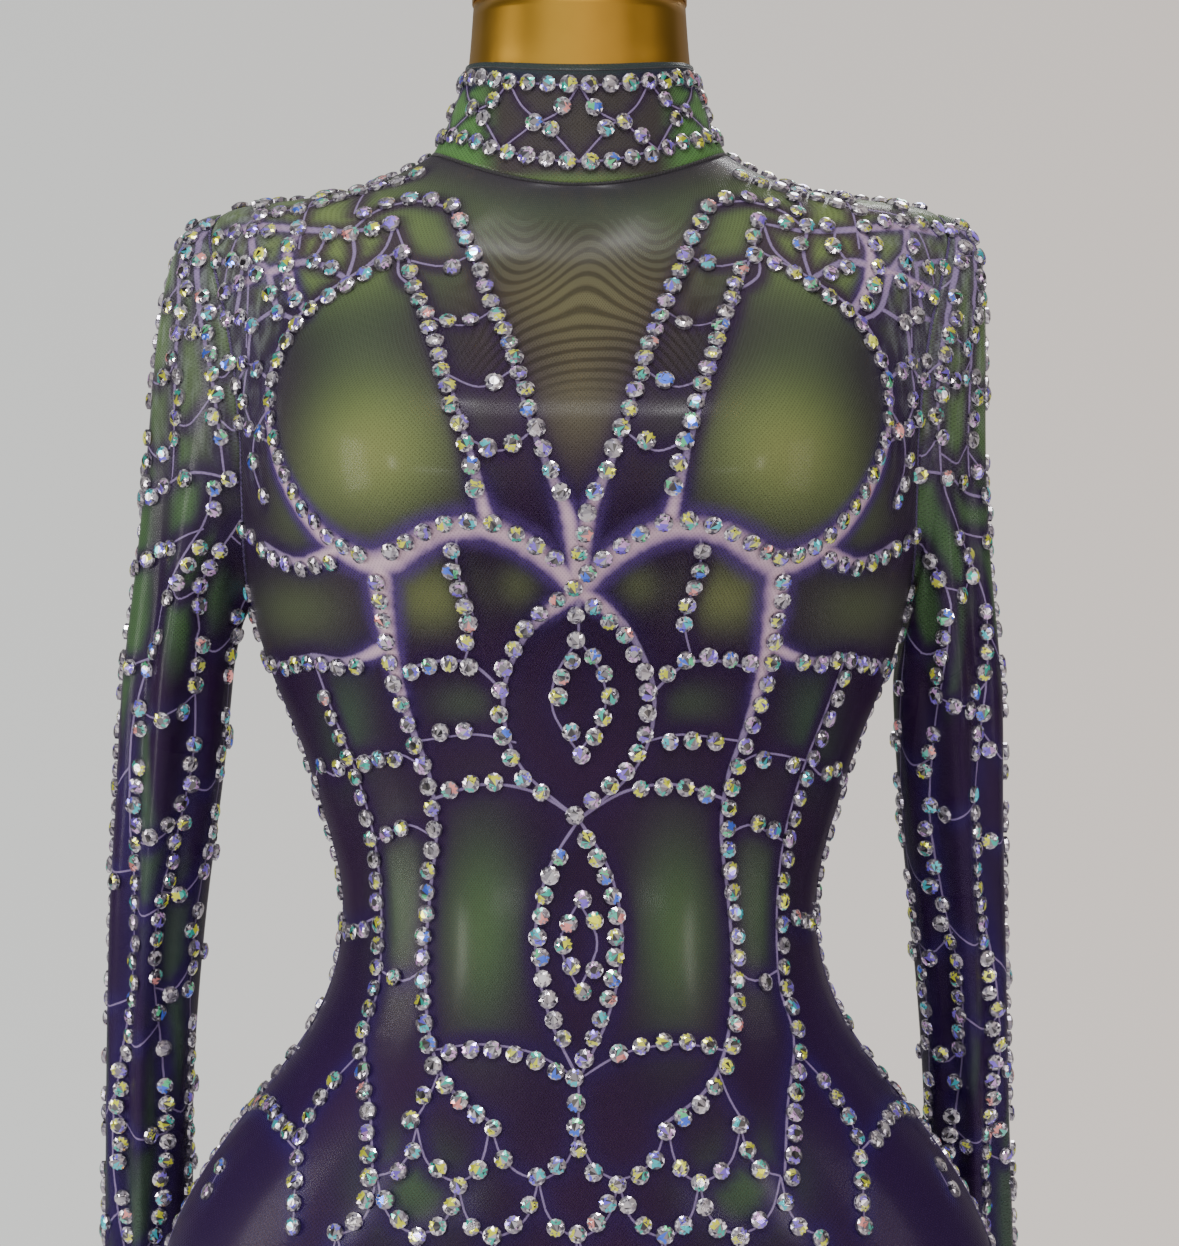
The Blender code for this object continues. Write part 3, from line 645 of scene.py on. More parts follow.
def draw(chart, width, points, pitch=STONE_PITCH):
    """Lays a line on the cloth. It breaks where the chart finds no cloth. Width is half the line's,
    in millimetres, one for all or one for each point."""
    widths = np.interp(np.broadcast_to(np.array(width, float), len(points)), WRITTEN, DRAWN)
    pieces = [[]]
    for a, b, half in curve_through(np.column_stack([points, widths])):
        hit = chart(a, b)
        if pieces[-1] and (hit is None or np.linalg.norm(hit.point - pieces[-1][-1][0].point) > BREAK):
            pieces.append([])
        if hit is not None:
            pieces[-1].append((hit, half))
    return [even_line(samples, pitch) for samples in pieces if len(samples) > 2]


def mirrored(lines):
    flip = np.array([-1, 1, 1])
    return [line._replace(points=line.points * flip, normals=line.normals * flip) for line in lines]


# %% [markdown]
# ## The web
# The web is this notebook's own and is made of plain motifs. A broad pale line follows the bust
# like a sweetheart neckline, ladders run from the neck to its middle like a plunge, two drops hang
# below it, princess lines and side lines close the cells, and rows of scales cover the hips.

# %% The web at the front
FRONT_WEB = [
    # sweetheart line: from the centre to the side, up round the breast and to the shoulder
    ([4.2, 4.4, 4.8, 5.0, 5.6, 4.8, 3.8, 2.4, 1.7, 1.3, 1.2, 1.1],
     [(0, 1184), (15, 1198), (38, 1210), (62, 1208), (86, 1196), (108, 1205), (126, 1225), (137, 1250),
      (139, 1279), (127, 1306), (104, 1324), (80, 1337)]),
    # ladder from the neck to the sweetheart line
    ([1.1, 1.1, 1.2, 1.6, 3.0, 4.0],
     [(58, 1357), (45, 1326), (31, 1288), (17, 1246), (4, 1214), (0, 1184)]),
    ([1.1, 1.2, 1.2, 1.6, 3.4], [(83, 1350), (71, 1318), (59, 1284), (47, 1246), (38, 1210)]),
    (1.1, [(48, 1334), (61, 1329), (76, 1332)]),
    (1.1, [(38, 1307), (51, 1300), (67, 1305)]),
    (1.1, [(28, 1279), (42, 1271), (57, 1277)]),
    (1.1, [(19, 1252), (33, 1243), (48, 1249)]),
    # drop on the upper belly, with its bud
    ([4.2, 1.8, 1.4, 1.2, 1.2], [(0, 1184), (22, 1166), (33, 1138), (26, 1108), (0, 1084)]),
    (1.1, [(0, 1163), (10, 1147), (11, 1131), (0, 1113)]),
    ([2.4, 1.3, 1.1], [(0, 1184), (0, 1173), (0, 1163)]),
    # swags to the princess line
    (1.2, [(33, 1140), (47, 1152), (64, 1153), (82, 1147)]),
    (1.1, [(50, 1153), (46, 1172), (52, 1192), (52, 1209)]),
    (1.2, [(0, 1084), (20, 1096), (42, 1099), (65, 1092)]),
    (1.1, [(29, 1118), (46, 1121), (70, 1118)]),
    # slim drop down to the hips
    (1.2, [(0, 1084), (14, 1060), (19, 1030), (13, 999), (0, 972)]),
    (1.1, [(0, 972), (20, 983), (44, 986), (66, 982)]),
    (1.1, [(0, 1048), (8, 1030), (0, 1010)]),
    (1.1, [(0, 972), (0, 962), (0, 952)]),
    # princess line
    ([5.4, 4.4, 2.8, 1.8, 1.4, 1.3, 1.3, 1.3, 1.3, 1.3, 1.2],
     [(87, 1196), (85, 1172), (81, 1148), (74, 1124), (66, 1102), (63, 1078), (66, 1050), (68, 1020),
      (66, 990), (57, 968), (36, 952)]),
    (1.1, [(61, 974), (66, 962), (72, 952)]),
    # side lines
    ([3.6, 2.2, 1.6], [(104, 1203), (124, 1197), (143, 1206)]),
    ([3.0, 2.0, 1.6, 1.2], [(84, 1160), (103, 1153), (120, 1155), (134, 1152)]),
    (1.2, [(120, 1155), (111, 1130), (100, 1102), (92, 1072), (89, 1040), (90, 1008), (96, 984),
                        (92, 956), (90, 928)]),
    (1.1, [(66, 1104), (81, 1112), (103, 1108)]),
    (1.1, [(63, 1074), (76, 1080), (92, 1072)]),
    (1.1, [(67, 1018), (78, 1011), (89, 1014)]),
    (1.1, [(103, 1108), (110, 1101), (117, 1103)]),
    (1.1, [(96, 980), (112, 962), (124, 940), (126, 904)]),
    # small cells of the shoulder, their lines broader and paler outwards
    ([1.2, 1.5, 1.9, 2.1, 1.8], [(83, 1350), (103, 1347), (127, 1349), (150, 1352), (166, 1350)]),
    ([1.5, 1.8, 2.2, 2.0], [(104, 1324), (121, 1333), (141, 1329), (162, 1322)]),
    ([1.9, 2.4, 2.4, 1.8], [(127, 1349), (132, 1338), (130, 1322), (122, 1309)]),
    ([1.3, 1.6, 2.0], [(127, 1306), (136, 1312), (141, 1329)]),
    (1.9, [(141, 1329), (149, 1340), (150, 1352)]),
    (1.3, [(139, 1279), (150, 1288), (166, 1292)]),
    (1.2, [(137, 1250), (146, 1255), (158, 1262)]),
    (1.3, [(104, 1324), (101, 1336), (103, 1347)]),
    (1.4, [(136, 1312), (148, 1304), (150, 1288)]),
    (1.6, [(148, 1304), (157, 1309), (168, 1306)]),
    (1.2, [(58, 1357), (74, 1361), (91, 1357), (103, 1347)]),
    (1.2, [(83, 1350), (87, 1338), (95, 1330), (104, 1324)]),
    (1.2, [(70, 1317), (80, 1325), (80, 1337)]),
    (1.6, [(141, 1329), (154, 1334), (167, 1337)]),
    (1.5, [(154, 1334), (155, 1321), (157, 1309)]),
    (1.3, [(150, 1288), (158, 1277), (169, 1272)]),
    (1.2, [(146, 1255), (152, 1271), (150, 1288)]),
    (1.2, [(121, 1333), (116, 1341), (116, 1348)]),
    (1.2, [(139, 1266), (146, 1255), (147, 1240), (142, 1226)]),
]

# %% [markdown]
# A scale hangs between two nodes of one row, and its lowest point is a node of the row below. The
# rows widen downwards, and each node is a little off its place, as hand drawing is.

# %% Scales on the hips
SCALE_ROWS, SCALE_TOP, SCALE_DROP, SCALE_HALF, SHAKE = 6, 952, 24, 18, 2.5
SCALE_SHAPE = [(0, 0), (0.2, 0.55), (0.55, 0.86)]  # shares of the way across and down to its lowest point


def scale_node(row, column):
    """Where two scales meet, in millimetres."""
    draws = random.Random(97 * row + column)
    aside = draws.uniform(-SHAKE, SHAKE) if column else 0
    return SCALE_HALF * column + aside, SCALE_TOP - SCALE_DROP * row + draws.uniform(-SHAKE, SHAKE)


for row in range(SCALE_ROWS):
    for column in range(row % 2, 5 + row, 2):
        for way in (1, -1) if column else (1,):
            (x, z), (low_x, low_z) = scale_node(row, column), scale_node(row + 1, column + way)
            hang = [(x + across * (low_x - x), z + down * (low_z - z)) for across, down in SCALE_SHAPE]
            FRONT_WEB.append((1.1, hang + [(low_x, low_z)]))
print("lines of the front:", len(FRONT_WEB))

# %% [markdown]
# Over the shoulder, at the sides and at the back the web goes on in the same way. The centre
# back stays free for the zip.

# %% The web over the shoulders, at the sides and at the back
SHOULDER_WEB = [
    (1.2, [(72, -2), (92, -5), (118, 4), (146, -2), (170, 1)]),
    (1.1, [(74, -30), (98, -26), (124, -33), (150, -28), (170, -34)]),
    (1.1, [(74, 30), (98, 26), (124, 33), (150, 28), (170, 34)]),
    (1.1, [(92, -5), (98, -26)]),
    (1.1, [(104, 0), (98, 26)]),
    (1.1, [(118, 4), (124, -33)]),
    (1.1, [(134, 1), (124, 33)]),
    (1.1, [(146, -2), (150, -28)]),
    (1.1, [(158, 0), (150, 28)]),
    (1.1, [(98, -26), (102, -46)]),
    (1.1, [(124, -33), (127, -48)]),
    (1.1, [(150, -28), (151, -46)]),
]
SIDE_WEB = [
    (1.4, [(76, 1206), (83, 1212), (90, 1209), (97, 1213), (104, 1205)]),
    (1.4, [(76, 1152), (83, 1147), (90, 1151), (97, 1147), (104, 1151)]),
    (1.1, [(76, 1103), (83, 1097), (90, 1101), (101, 1096), (112, 1104)]),
    (1.1, [(60, 1037), (75, 1030), (90, 1036), (105, 1030), (120, 1037)]),
    (1.1, [(62, 936), (76, 948), (90, 942), (104, 948), (118, 936)]),
    (1.1, [(64, 870), (77, 862), (90, 868), (103, 862), (116, 870)]),
    (1.3, [(90, 1206), (86, 1180), (91, 1151), (94, 1126), (90, 1101), (86, 1068), (91, 1036),
                        (94, 1000), (88, 968), (91, 942), (94, 905), (90, 868), (87, 836), (90, 806)]),
]
BACK_WEB = [
    (1.3, [(60, 1372), (58, 1342), (72, 1302), (80, 1256), (68, 1210)]),
    ([2.6, 3.4, 3.6, 3.0, 2.0], [(8, 1216), (38, 1206), (68, 1210), (104, 1200), (142, 1205)]),
    (1.3, [(68, 1210), (52, 1176), (30, 1152), (8, 1142)]),
    (1.2, [(60, 1352), (90, 1349), (120, 1340), (148, 1345), (164, 1340)]),
    (1.2, [(72, 1302), (100, 1291), (128, 1301), (160, 1290)]),
    (1.2, [(80, 1256), (112, 1249), (146, 1259)]),
    (1.2, [(8, 1322), (30, 1312), (52, 1318), (66, 1316)]),
    (1.1, [(8, 1268), (32, 1262), (54, 1270), (77, 1272)]),
    (1.1, [(30, 1312), (34, 1288), (32, 1262)]),
    (1.1, [(32, 1262), (36, 1234), (38, 1206)]),
    (1.1, [(90, 1349), (94, 1322), (86, 1297)]),
    (1.1, [(120, 1340), (122, 1322), (128, 1301)]),
    (1.1, [(112, 1249), (106, 1224), (104, 1200)]),
    (1.1, [(100, 1291), (106, 1270), (112, 1249)]),
    (1.3, [(52, 1176), (66, 1140), (61, 1096), (58, 1050), (66, 1005), (84, 966)]),
    (1.1, [(8, 1086), (34, 1078), (61, 1090)]),
    (1.1, [(8, 1010), (36, 1002), (64, 1012)]),
    (1.2, [(66, 1140), (94, 1131), (120, 1140), (134, 1151)]),
    (1.2, [(120, 1140), (103, 1100), (92, 1050), (97, 1004), (120, 962)]),
    (1.1, [(60, 1066), (76, 1060), (93, 1064)]),
    (1.1, [(104, 1200), (98, 1164), (94, 1131)]),
    (1.2, [(8, 962), (40, 946), (84, 966), (120, 962), (148, 940)]),
    (1.1, [(8, 900), (45, 886), (86, 900), (126, 888), (165, 902)]),
    (1.1, [(40, 946), (46, 916), (45, 886)]),
    (1.1, [(84, 966), (90, 932), (86, 900)]),
    (1.1, [(120, 962), (128, 924), (126, 888)]),
    (1.1, [(8, 838), (42, 826), (84, 836), (126, 826), (170, 838)]),
    (1.1, [(45, 886), (38, 856), (42, 826)]),
    (1.1, [(86, 900), (90, 868), (84, 836)]),
    (1.1, [(126, 888), (120, 856), (126, 826)]),
]

WEBS = [(front_chart, FRONT_WEB), (top_chart, SHOULDER_WEB), (round_chart, SIDE_WEB), (back_chart, BACK_WEB)]
body_lines = []
for chart, web in WEBS:
    for width, points in web:
        drawn = draw(chart, width, points)
        body_lines += drawn + mirrored(drawn)
length = sum(len(line.points) for line in body_lines) * SAMPLE
print("body:", len(body_lines), "lines,", round(length, 1), "m")

# %% [markdown]
# Sleeves, legs and collar are tubes, and a tube takes a net: lines that wander down it, and
# rungs between them that step up and down from one gap to the next. Crystals get sparser down
# the leg, as they do on a real suit, where most of the work goes into what the stage sees.

# %% Nets round the sleeves, legs and collar
SWAY = 190  # a line's wander down a tube repeats after this many millimetres
LEG_STARTS = [20, 65, 112, 160, 205, 250, 300, 340]
PETAL, COLLAR_FOOT, COLLAR_HEM, HEM_SHARE = 36, 0.20, 0.83, 0.95
PETAL_LINES = [  # degrees from the petal's middle, and shares of the way up the collar
    [(-18, COLLAR_FOOT), (-9, 0.38), (0, 0.51), (9, 0.38), (18, COLLAR_FOOT)],
    [(0, 0.51), (10, 0.63), (18, COLLAR_HEM)],
    [(0, 0.51), (-10, 0.63), (-18, COLLAR_HEM)],
]


def net(chart, heights, starts, wander, rung_gap, seed, pitch=STONE_PITCH, closed=True, width=1.1):
    """Lines down a tube at the start angles, and rungs between neighbours."""
    drawn, draws = [], random.Random(seed)
    phases = [draws.uniform(0, 2 * math.pi) for _ in starts]
    top, bottom = heights
    levels = np.linspace(top, bottom, max(4, round((top - bottom) / 35)))

    def angle_of(k, z):
        return starts[k] + wander * math.sin(2 * math.pi * (top - z) / SWAY + phases[k])

    for k in range(len(starts)):
        narrowing = np.linspace(width, 1.1, len(levels))
        drawn += draw(chart, narrowing, [(angle_of(k, z), z) for z in levels], pitch)
        after = (k + 1) % len(starts)
        turn = 360 if after == 0 else 0
        if turn and not closed:
            continue
        z = top - rung_gap * (0.35 + 0.5 * (k % 2))
        while z > bottom + 8:
            fall = draws.uniform(-14, 14)
            low, high = angle_of(k, z), angle_of(after, z + fall) + turn
            rung = [(low, z), ((low + high) / 2, z + fall / 2 - 7), (high, z + fall)]
            drawn += draw(chart, 1.0, rung, pitch)
            z -= rung_gap * draws.uniform(0.8, 1.2)
    return drawn


sleeve_lines = {}
for side, seed in (("left", 3), ("right", 8)):
    chart = sleeve_charts[side]
    sleeve_lines[side] = net(chart, (1356, 1236), [48, 78, 108, 142, 180, 218, 252, 284], 7, 34, seed,
                             pitch=9.4, closed=False, width=1.8)
    ring = [(angle, 1234 + 5 * math.sin(angle / 20 + seed)) for angle in range(0, 361, 12)]
    sleeve_lines[side] += draw(chart, 1.2, ring)
    sleeve_lines[side] += net(chart, (1232, 770), [25, 72, 118, 180, 240, 300], 12, 54, seed + 20)
leg_lines = net(leg_chart, (784, 440), LEG_STARTS, 9, 72, 21)
leg_lines += net(leg_chart, (436, 68), LEG_STARTS, 9, 90, 22, pitch=21)
body_lines += leg_lines + mirrored(leg_lines)

collar_lines = []
for share in (COLLAR_HEM, COLLAR_FOOT):
    collar_lines += draw(collar_chart, 1.1, [(angle, share) for angle in range(-172, 173, 8)])
for turn in range(-180 + PETAL // 2, 180, PETAL):
    for petal_line in PETAL_LINES:
        collar_lines += draw(collar_chart, 1.0, [(turn + aside, share) for aside, share in petal_line])
print("sleeves:", {side: len(found) for side, found in sleeve_lines.items()}, "collar:", len(collar_lines))

# %% [markdown]
# ## Printing
# The print has to be sharper than the cloth's mesh. Each face therefore keeps, at each of its
# corners, the distance to its nearest lines with a sign for the side, measured in line widths.
# Between two corners with unlike signs the value passes through nought, so the line comes out
# crisp wherever it crosses the face. The soft glows vary slowly and are kept at the points.

# %% Distances to the nearest lines
FAR = 60.0
NEAREST, LOOKED_AT = 3, 16
ONE_WALL = 2.5 * MM  # a line farther off a face than this is on another wall


def search_of(points):
    search = kdtree.KDTree(len(points))
    for k, point in enumerate(points):
        search.insert(point, k)
    search.balance()
    return search


class Ink:
    """The samples of a set of lines, ready for searching."""

    def __init__(self, lines):
        self.points, self.normals = (np.vstack([getattr(line, name) for line in lines])
                                     for name in ("points", "normals"))
        self.widths = np.concatenate([line.half_widths for line in lines])
        self.along = unit(np.vstack([np.gradient(line.points, axis=0) for line in lines]))
        self.owner = np.concatenate([np.full(len(line.points), k) for k, line in enumerate(lines)])
        self.ends = np.concatenate([np.r_[-1, np.zeros(len(line.points) - 2), 1] for line in lines])
        self.search = search_of(self.points)

    def nearest_lines(self, place):
        """The nearest sample of each of the nearest lines."""
        found = {}
        for _, k, _ in self.search.find_n(place, LOOKED_AT):
            found.setdefault(self.owner[k], k)
        return (list(found.values()) + [-1] * NEAREST)[:NEAREST]

    def distances(self, corners, normals, centres, chosen):
        """Signed distances, in line half widths, from corners to the line at the chosen samples. A face
        that lies past a line's end, or on another wall than the line, takes them without a sign, so
        nothing is drawn there."""
        away, along, ends = corners - self.points[chosen], self.along[chosen], self.ends[chosen]
        centres = centres - self.points[chosen]
        across = np.einsum("ij,ij->i", away, np.cross(along, normals))
        past = np.einsum("ij,ij->i", away, along) * ends
        beyond = np.einsum("ij,ij->i", centres, along) * ends > 0
        off = np.einsum("ij,ij->i", centres, self.normals[chosen])
        across = np.where(beyond, np.hypot(across, np.maximum(past, 0)), across)
        across = np.where(np.abs(off) > ONE_WALL, np.hypot(across, off), across)
        return np.where(chosen < 0, FAR, across / self.widths[chosen])


def add_layer(mesh, name, kind, place, values, says="vector"):
    mesh.attributes.new(name, kind, place).data.foreach_set(says, values.ravel())


def print_lines(obj, ink):
    """Writes veins and bands at the face corners. Returns each point's distance and line half width."""
    mesh, points = obj.data, points_of(obj)
    counts = [polygon.loop_total for polygon in mesh.polygons]
    normals, middles = rows_of(mesh.polygons, "normal"), rows_of(mesh.polygons, "center")
    nearest = np.array([ink.nearest_lines(middle) for middle in middles])
    normals, centres, chosen = (np.repeat(rows, counts, axis=0) for rows in (normals, middles, nearest))
    corners = points[corner_points(mesh)]
    veins = np.column_stack([ink.distances(corners, normals, centres, column) for column in chosen.T])
    bands = smoothstep(1.2 * MM, 3.4 * MM, ink.widths[chosen])
    add_layer(mesh, "veins", "FLOAT_VECTOR", "CORNER", np.clip(veins, -FAR, FAR))
    add_layer(mesh, "bands", "FLOAT_VECTOR", "CORNER", bands)
    found = [ink.search.find(point) for point in points]
    return np.array([away for _, _, away in found]), ink.widths[[k for _, k, _ in found]]


# %% [markdown]
# The dye's zones are a short table: where a glow sits, how far it reaches, and how green, olive
# or plain it is. Breasts glow yellow-green, the chest is olive, the shoulders' small cells are
# leaf green, the belly stays deep purple, and two tall windows at the waist glow again.

# %% Dye zones
# each row: across, height, reach across, reach up (all in millimetres), how green, how olive
FRONT_ZONES = [
    (88, 1243, 31, 28, 0.75, 0.66), (96, 1286, 30, 30, 0.20, 0.08), (0, 1312, 40, 30, 0.06, 0.42),
    (0, 1352, 60, 14, 0.16, 0.00), (0, 1262, 20, 26, 0.04, 0.26), (120, 1345, 60, 28, 1.05, 0.56),
    (64, 1181, 17, 13, 0.36, 0.44), (26, 1186, 9, 9, 0.20, 0.20), (126, 1176, 24, 15, 0.22, 0.16),
    (124, 1216, 16, 16, 0.18, 0.10), (104, 1124, 12, 26, 0.26, 0.00), (43, 1036, 17, 42, 0.42, 0.08),
    (80, 1044, 11, 36, 0.30, 0.05), (50, 1135, 15, 9, 0.18, 0.04), (74, 926, 22, 18, 0.36, 0.04),
]
BACK_ZONES = [
    (112, 1345, 70, 34, 0.95, 0.10), (34, 1292, 30, 40, 0.50, 0.40), (112, 1226, 30, 22, 0.50, 0.10),
    (34, 1046, 20, 36, 0.66, 0.00), (80, 1090, 12, 36, 0.40, 0.00), (64, 926, 20, 20, 0.44, 0.05),
    (110, 858, 26, 20, 0.40, 0.00),
]
HAZE_REACH = 5.5 * MM


def patchy(points, size, seed):
    """Smooth noise from 0 to 1 with patches of about the given sizes."""
    shift = Vector((seed * 7.3, seed * 3.1, seed * 5.7))
    scaled = points * (1 / np.array(size))
    return np.array([0.5 + 0.5 * noise.noise(Vector(point) + shift) for point in scaled])


def zone_glow(points, zones):
    """How green and how olive the zones make each point, one column each."""
    across, height = np.abs(points[:, 0]) / MM, points[:, 2] / MM
    glow = np.zeros((len(points), 2))
    for x, z, reach_x, reach_z, green, olive in zones:
        share = np.exp(-((across - x) / reach_x) ** 2 - ((height - z) / reach_z) ** 2)
        glow += share[:, None] * (green, olive)
    return glow


def body_dye(points):
    behind = smoothstep(-0.02, 0.03, points[:, 1])[:, None]
    ahead = zone_glow(points, FRONT_ZONES) * (1 - behind)
    green, olive = (ahead + zone_glow(points, BACK_ZONES) * behind).T
    low = 1 - smoothstep(0.80, 0.90, points[:, 2])
    legs = smoothstep(0.50, 0.66, patchy(points, (0.09, 0.09, 0.16), 4)) * 0.6
    hips = 1 - smoothstep(0.96, 1.10, points[:, 2])
    outer = smoothstep(0.06, 0.13, np.abs(points[:, 0]))
    return green * (1 - low) + legs * low, olive, 0.18 + (0.26 + 0.36 * outer) * hips


def sleeve_dye(points):
    """Lengthwise streaks, greyer green at the top and violet further down."""
    streaks = smoothstep(0.44, 0.62, patchy(points, (0.028, 0.028, 0.20), 9))
    top = smoothstep(1.20, 1.32, points[:, 2])
    mid = smoothstep(1.06, 1.18, points[:, 2])
    green = streaks * (0.34 + 0.14 * mid) * (1 - top) + top * (0.50 + 0.25 * streaks)
    return green, 0.22 * top + 0.05 * streaks, 0.68 - 0.48 * mid


def collar_dye(points):
    """Green at the sides, plum in front, and a dark hem at the top."""
    sides = smoothstep(0.034, 0.050, np.abs(points[:, 0]))
    below = smoothstep(0.0, 0.006, 1.374 - points[:, 2]) * (1 - sides)
    hem = smoothstep(0.0, 0.0012, points[:, 2] - 1.4155)
    green = (0.06 + 0.92 * sides + 0.6 * below) * (1 - hem) + 0.22 * hem
    return green, (0.12 + 0.12 * below) * (1 - hem), 0.12 + 0.3 * hem


def print_dye(obj, away, half_width, glow, edge):
    """The dye attribute: green and olive glows inside the cells, and a blue-purple haze at the lines."""
    green, olive, shade = glow(points_of(obj))
    inside = smoothstep(0.2 * edge, edge, away)
    strength = shade + (0.55 - shade) * smoothstep(0.8 * MM, 3.0 * MM, half_width)
    haze = np.exp(-((np.maximum(away - half_width, 0) / HAZE_REACH) ** 2)) * strength
    haze = haze + 0.5 * np.maximum(shade - 0.4, 0) * (1 - haze)
    dye = np.column_stack([np.clip(green * inside, 0, 1), np.clip(olive * (0.4 + 0.6 * inside), 0, 1),
                           haze, np.ones(len(away))])
    add_layer(obj.data, "dye", "FLOAT_COLOR", "POINT", dye, says="color")


def lay_out_net(obj, reach, about_middle):
    """A UV map in metres for the knit: round the piece, as seen from its middle, and up it."""
    mesh, points = obj.data, points_of(obj)
    corners = corner_points(mesh)
    middle = (points.min(axis=0) + points.max(axis=0)) / 2 if about_middle else np.zeros(3)
    turned = np.arctan2(points[:, 0] - middle[0], -(points[:, 1] - middle[1]))[corners]
    firsts = np.repeat([turned[p.loop_start] for p in mesh.polygons], [p.loop_total for p in mesh.polygons])
    turned = firsts + (turned - firsts + math.pi) % (2 * math.pi) - math.pi
    layer = mesh.uv_layers.new(name="cloth")
    layer.data.foreach_set("uv", np.column_stack([turned * reach, points[corners, 2]]).ravel())


# %% Print the panels
PRINTS = {  # the ink, the dye, how near its lines a glow ends, and how far out from its axis the cloth lies
    "collar": (Ink(collar_lines), collar_dye, 3.5 * MM, 0.055),
    **{"sleeve_" + side: (Ink(found), sleeve_dye, 9.0 * MM, 0.045) for side, found in sleeve_lines.items()},
    **dict.fromkeys(BODY, (Ink(body_lines), body_dye, 9.0 * MM, 0.14)),
}
for panel, cloth in panels.items():
    ink, dye, edge, out = PRINTS[panel]
    print_dye(cloth, *print_lines(cloth, ink), dye, edge)
    lay_out_net(cloth, out, about_middle=panel not in BODY)
    cloth.data.materials.append(mesh_cloth)
    cloth.data.shade_smooth()
    print("printed", cloth.name)

# %% [markdown]
# ## Edges of the panels
# The seams run where two panels' open edges meet, so the edges are kept before the cloth gets its
# thickness.


# %% Open edges
def open_edges(obj):
    """The points and normals of a sheet's open edges, in order along each loop."""
    sheet = bmesh.new()
    sheet.from_mesh(obj.data)
    left = dict.fromkeys(edge for edge in sheet.edges if edge.is_boundary)
    loops = []
    while left:
        edge = next(iter(left))
        del left[edge]
        loop = list(edge.verts)
        while onward := [beside for beside in loop[-1].link_edges if beside in left]:
            del left[onward[0]]
            loop.append(onward[0].other_vert(loop[-1]))
        loops.append(np.array([[*vert.co, *vert.normal] for vert in loop]))
    sheet.free()
    return loops


rims = {name: open_edges(cloth) for name, cloth in panels.items()}
print("open edges:", {name: [len(loop) for loop in loops] for name, loops in rims.items()})

# %% [markdown]
# ## Thickness
# The knit is about half a millimetre thick. It grows inwards, so that its outer face, with the
# print, stays where the solid's is.

# %% Thickness of the knit
KNIT = 0.5 * MM
for cloth in panels.values():
    apply_modifier(cloth, "SOLIDIFY", thickness=KNIT, offset=-1.0)
    print(cloth.name, triangles(cloth), "triangles")

# %% [markdown]
# ## Crystals
# A flat-back crystal is a low twelve-sided crown: a table on top, a ring of facets round it and a
# foiled flat back that is glued down. Each facet is painted a colour of its own, which stands in for
# the reflections and glints it catches under stage light: mostly silver, now and then violet, sea
# green, lemon or rose. The palest facets also glow a little, which is painted light too. One stone
# is modelled, and its mesh is copied to every place, with each copy a little tilted and turned.

# %% One crystal
STONE, STONE_SIDES = 8.1 * MM, 12
GIRDLE, FACET_RING = 1.6 * MM, 1.0 * MM
bpy.ops.mesh.primitive_cylinder_add(vertices=STONE_SIDES, radius=STONE / 2, depth=GIRDLE)
crystal = bpy.context.active_object
crystal.name = "crystal"
bpy.ops.object.mode_set(mode="EDIT")
edit = bmesh.from_edit_mesh(crystal.data)
for face in edit.faces:
    face.select = face.normal.z > 0.9
bmesh.update_edit_mesh(crystal.data)
for rise in (0.55 * MM, 0.45 * MM):
    bpy.ops.mesh.inset(thickness=FACET_RING)
    bpy.ops.transform.rotate(value=math.pi / STONE_SIDES, orient_axis="Z", center_override=(0, 0, 0))
    bpy.ops.transform.translate(value=(0, 0, rise))
bpy.ops.mesh.select_all(action="SELECT")
bpy.ops.mesh.quads_convert_to_tris()
edit = bmesh.from_edit_mesh(crystal.data)
underside = [face for face in edit.faces if face.normal.z < -0.9]
bmesh.ops.delete(edit, geom=underside, context="FACES_ONLY")
bmesh.update_edit_mesh(crystal.data)
bpy.ops.object.mode_set(mode="OBJECT")
turn_outward(crystal)
crystal_points = points_of(crystal) + (0, 0, GIRDLE / 2)
crystal_faces = rows_of(crystal.data.polygons, "vertices", 3, int)
bpy.data.objects.remove(crystal)
print("crystal:", len(crystal_faces), "facets")

# %% Foiled glass, with painted reflections, glints and glow
# painted reflections: silver and grey facets, a darker table, and pairs of glint colours for the rainbow coat
FOIL_AND_REFLECTIONS = [("#b4adb4", 32), ("#918a98", 30), ("#dad5dc", 15), ("#6f6a78", 16), ("#45414f", 7)]
TABLE_REFLECTIONS = [("#46434a", 24), ("#6b6868", 28), ("#948f96", 30), ("#c2bcc6", 18)]
GLINTS = [("#ccce3c", "#36ab9a", 30), ("#c9cc52", "#8068cf", 14), ("#45b4c0", "#6a5cd8", 13),
          ("#d98a86", "#58b6a4", 6), ("#7e62cf", "#c294ca", 20), ("#4668dc", "#55c088", 8),
          ("#b1abae", "#8d888f", 10)]


def foiled_glass():
    """Foiled crystal: mirror-like facets with a clear coat. The facets' colours are painted reflections and
    glints, and their alpha sets a painted glow.
    """
    material, shader, add = new_finish("foiled_crystal_painted_glow", Metallic=0.85, Roughness=0.12, Coat_Weight=0.5,
                                       Coat_Roughness=0.03)
    painted_facet_light = add("Attribute", out=None, attribute_name="painted_facet_light")
    # emission is painted glow: the facets shine though they are no lamp
    link(shader, Base_Color=painted_facet_light["Color"], Emission_Color=painted_facet_light["Color"],
         Emission_Strength=add("MapRange", painted_facet_light["Alpha"], 0, 1, 0, 1.1))
    return material


crystal_glass = foiled_glass()
print("material:", crystal_glass.name)

# %% [markdown]
# The stones sit along the lines, one every few millimetres, and where lines meet only one is
# kept. None sits on the zip's tape.

# %% Places for the crystals
CELL, GAP = 9 * MM, 8.5 * MM  # stones are looked up by cells, and none is nearer to another than the gap
FINER = 4  # a stone's place lies on a quarter of a sample


def cell_of(point):
    return tuple((point // CELL).astype(int))


def cells_round(point):
    x, y, z = cell_of(point)
    return [(x + i, y + j, z + k) for i in (-1, 0, 1) for j in (-1, 0, 1) for k in (-1, 0, 1)]


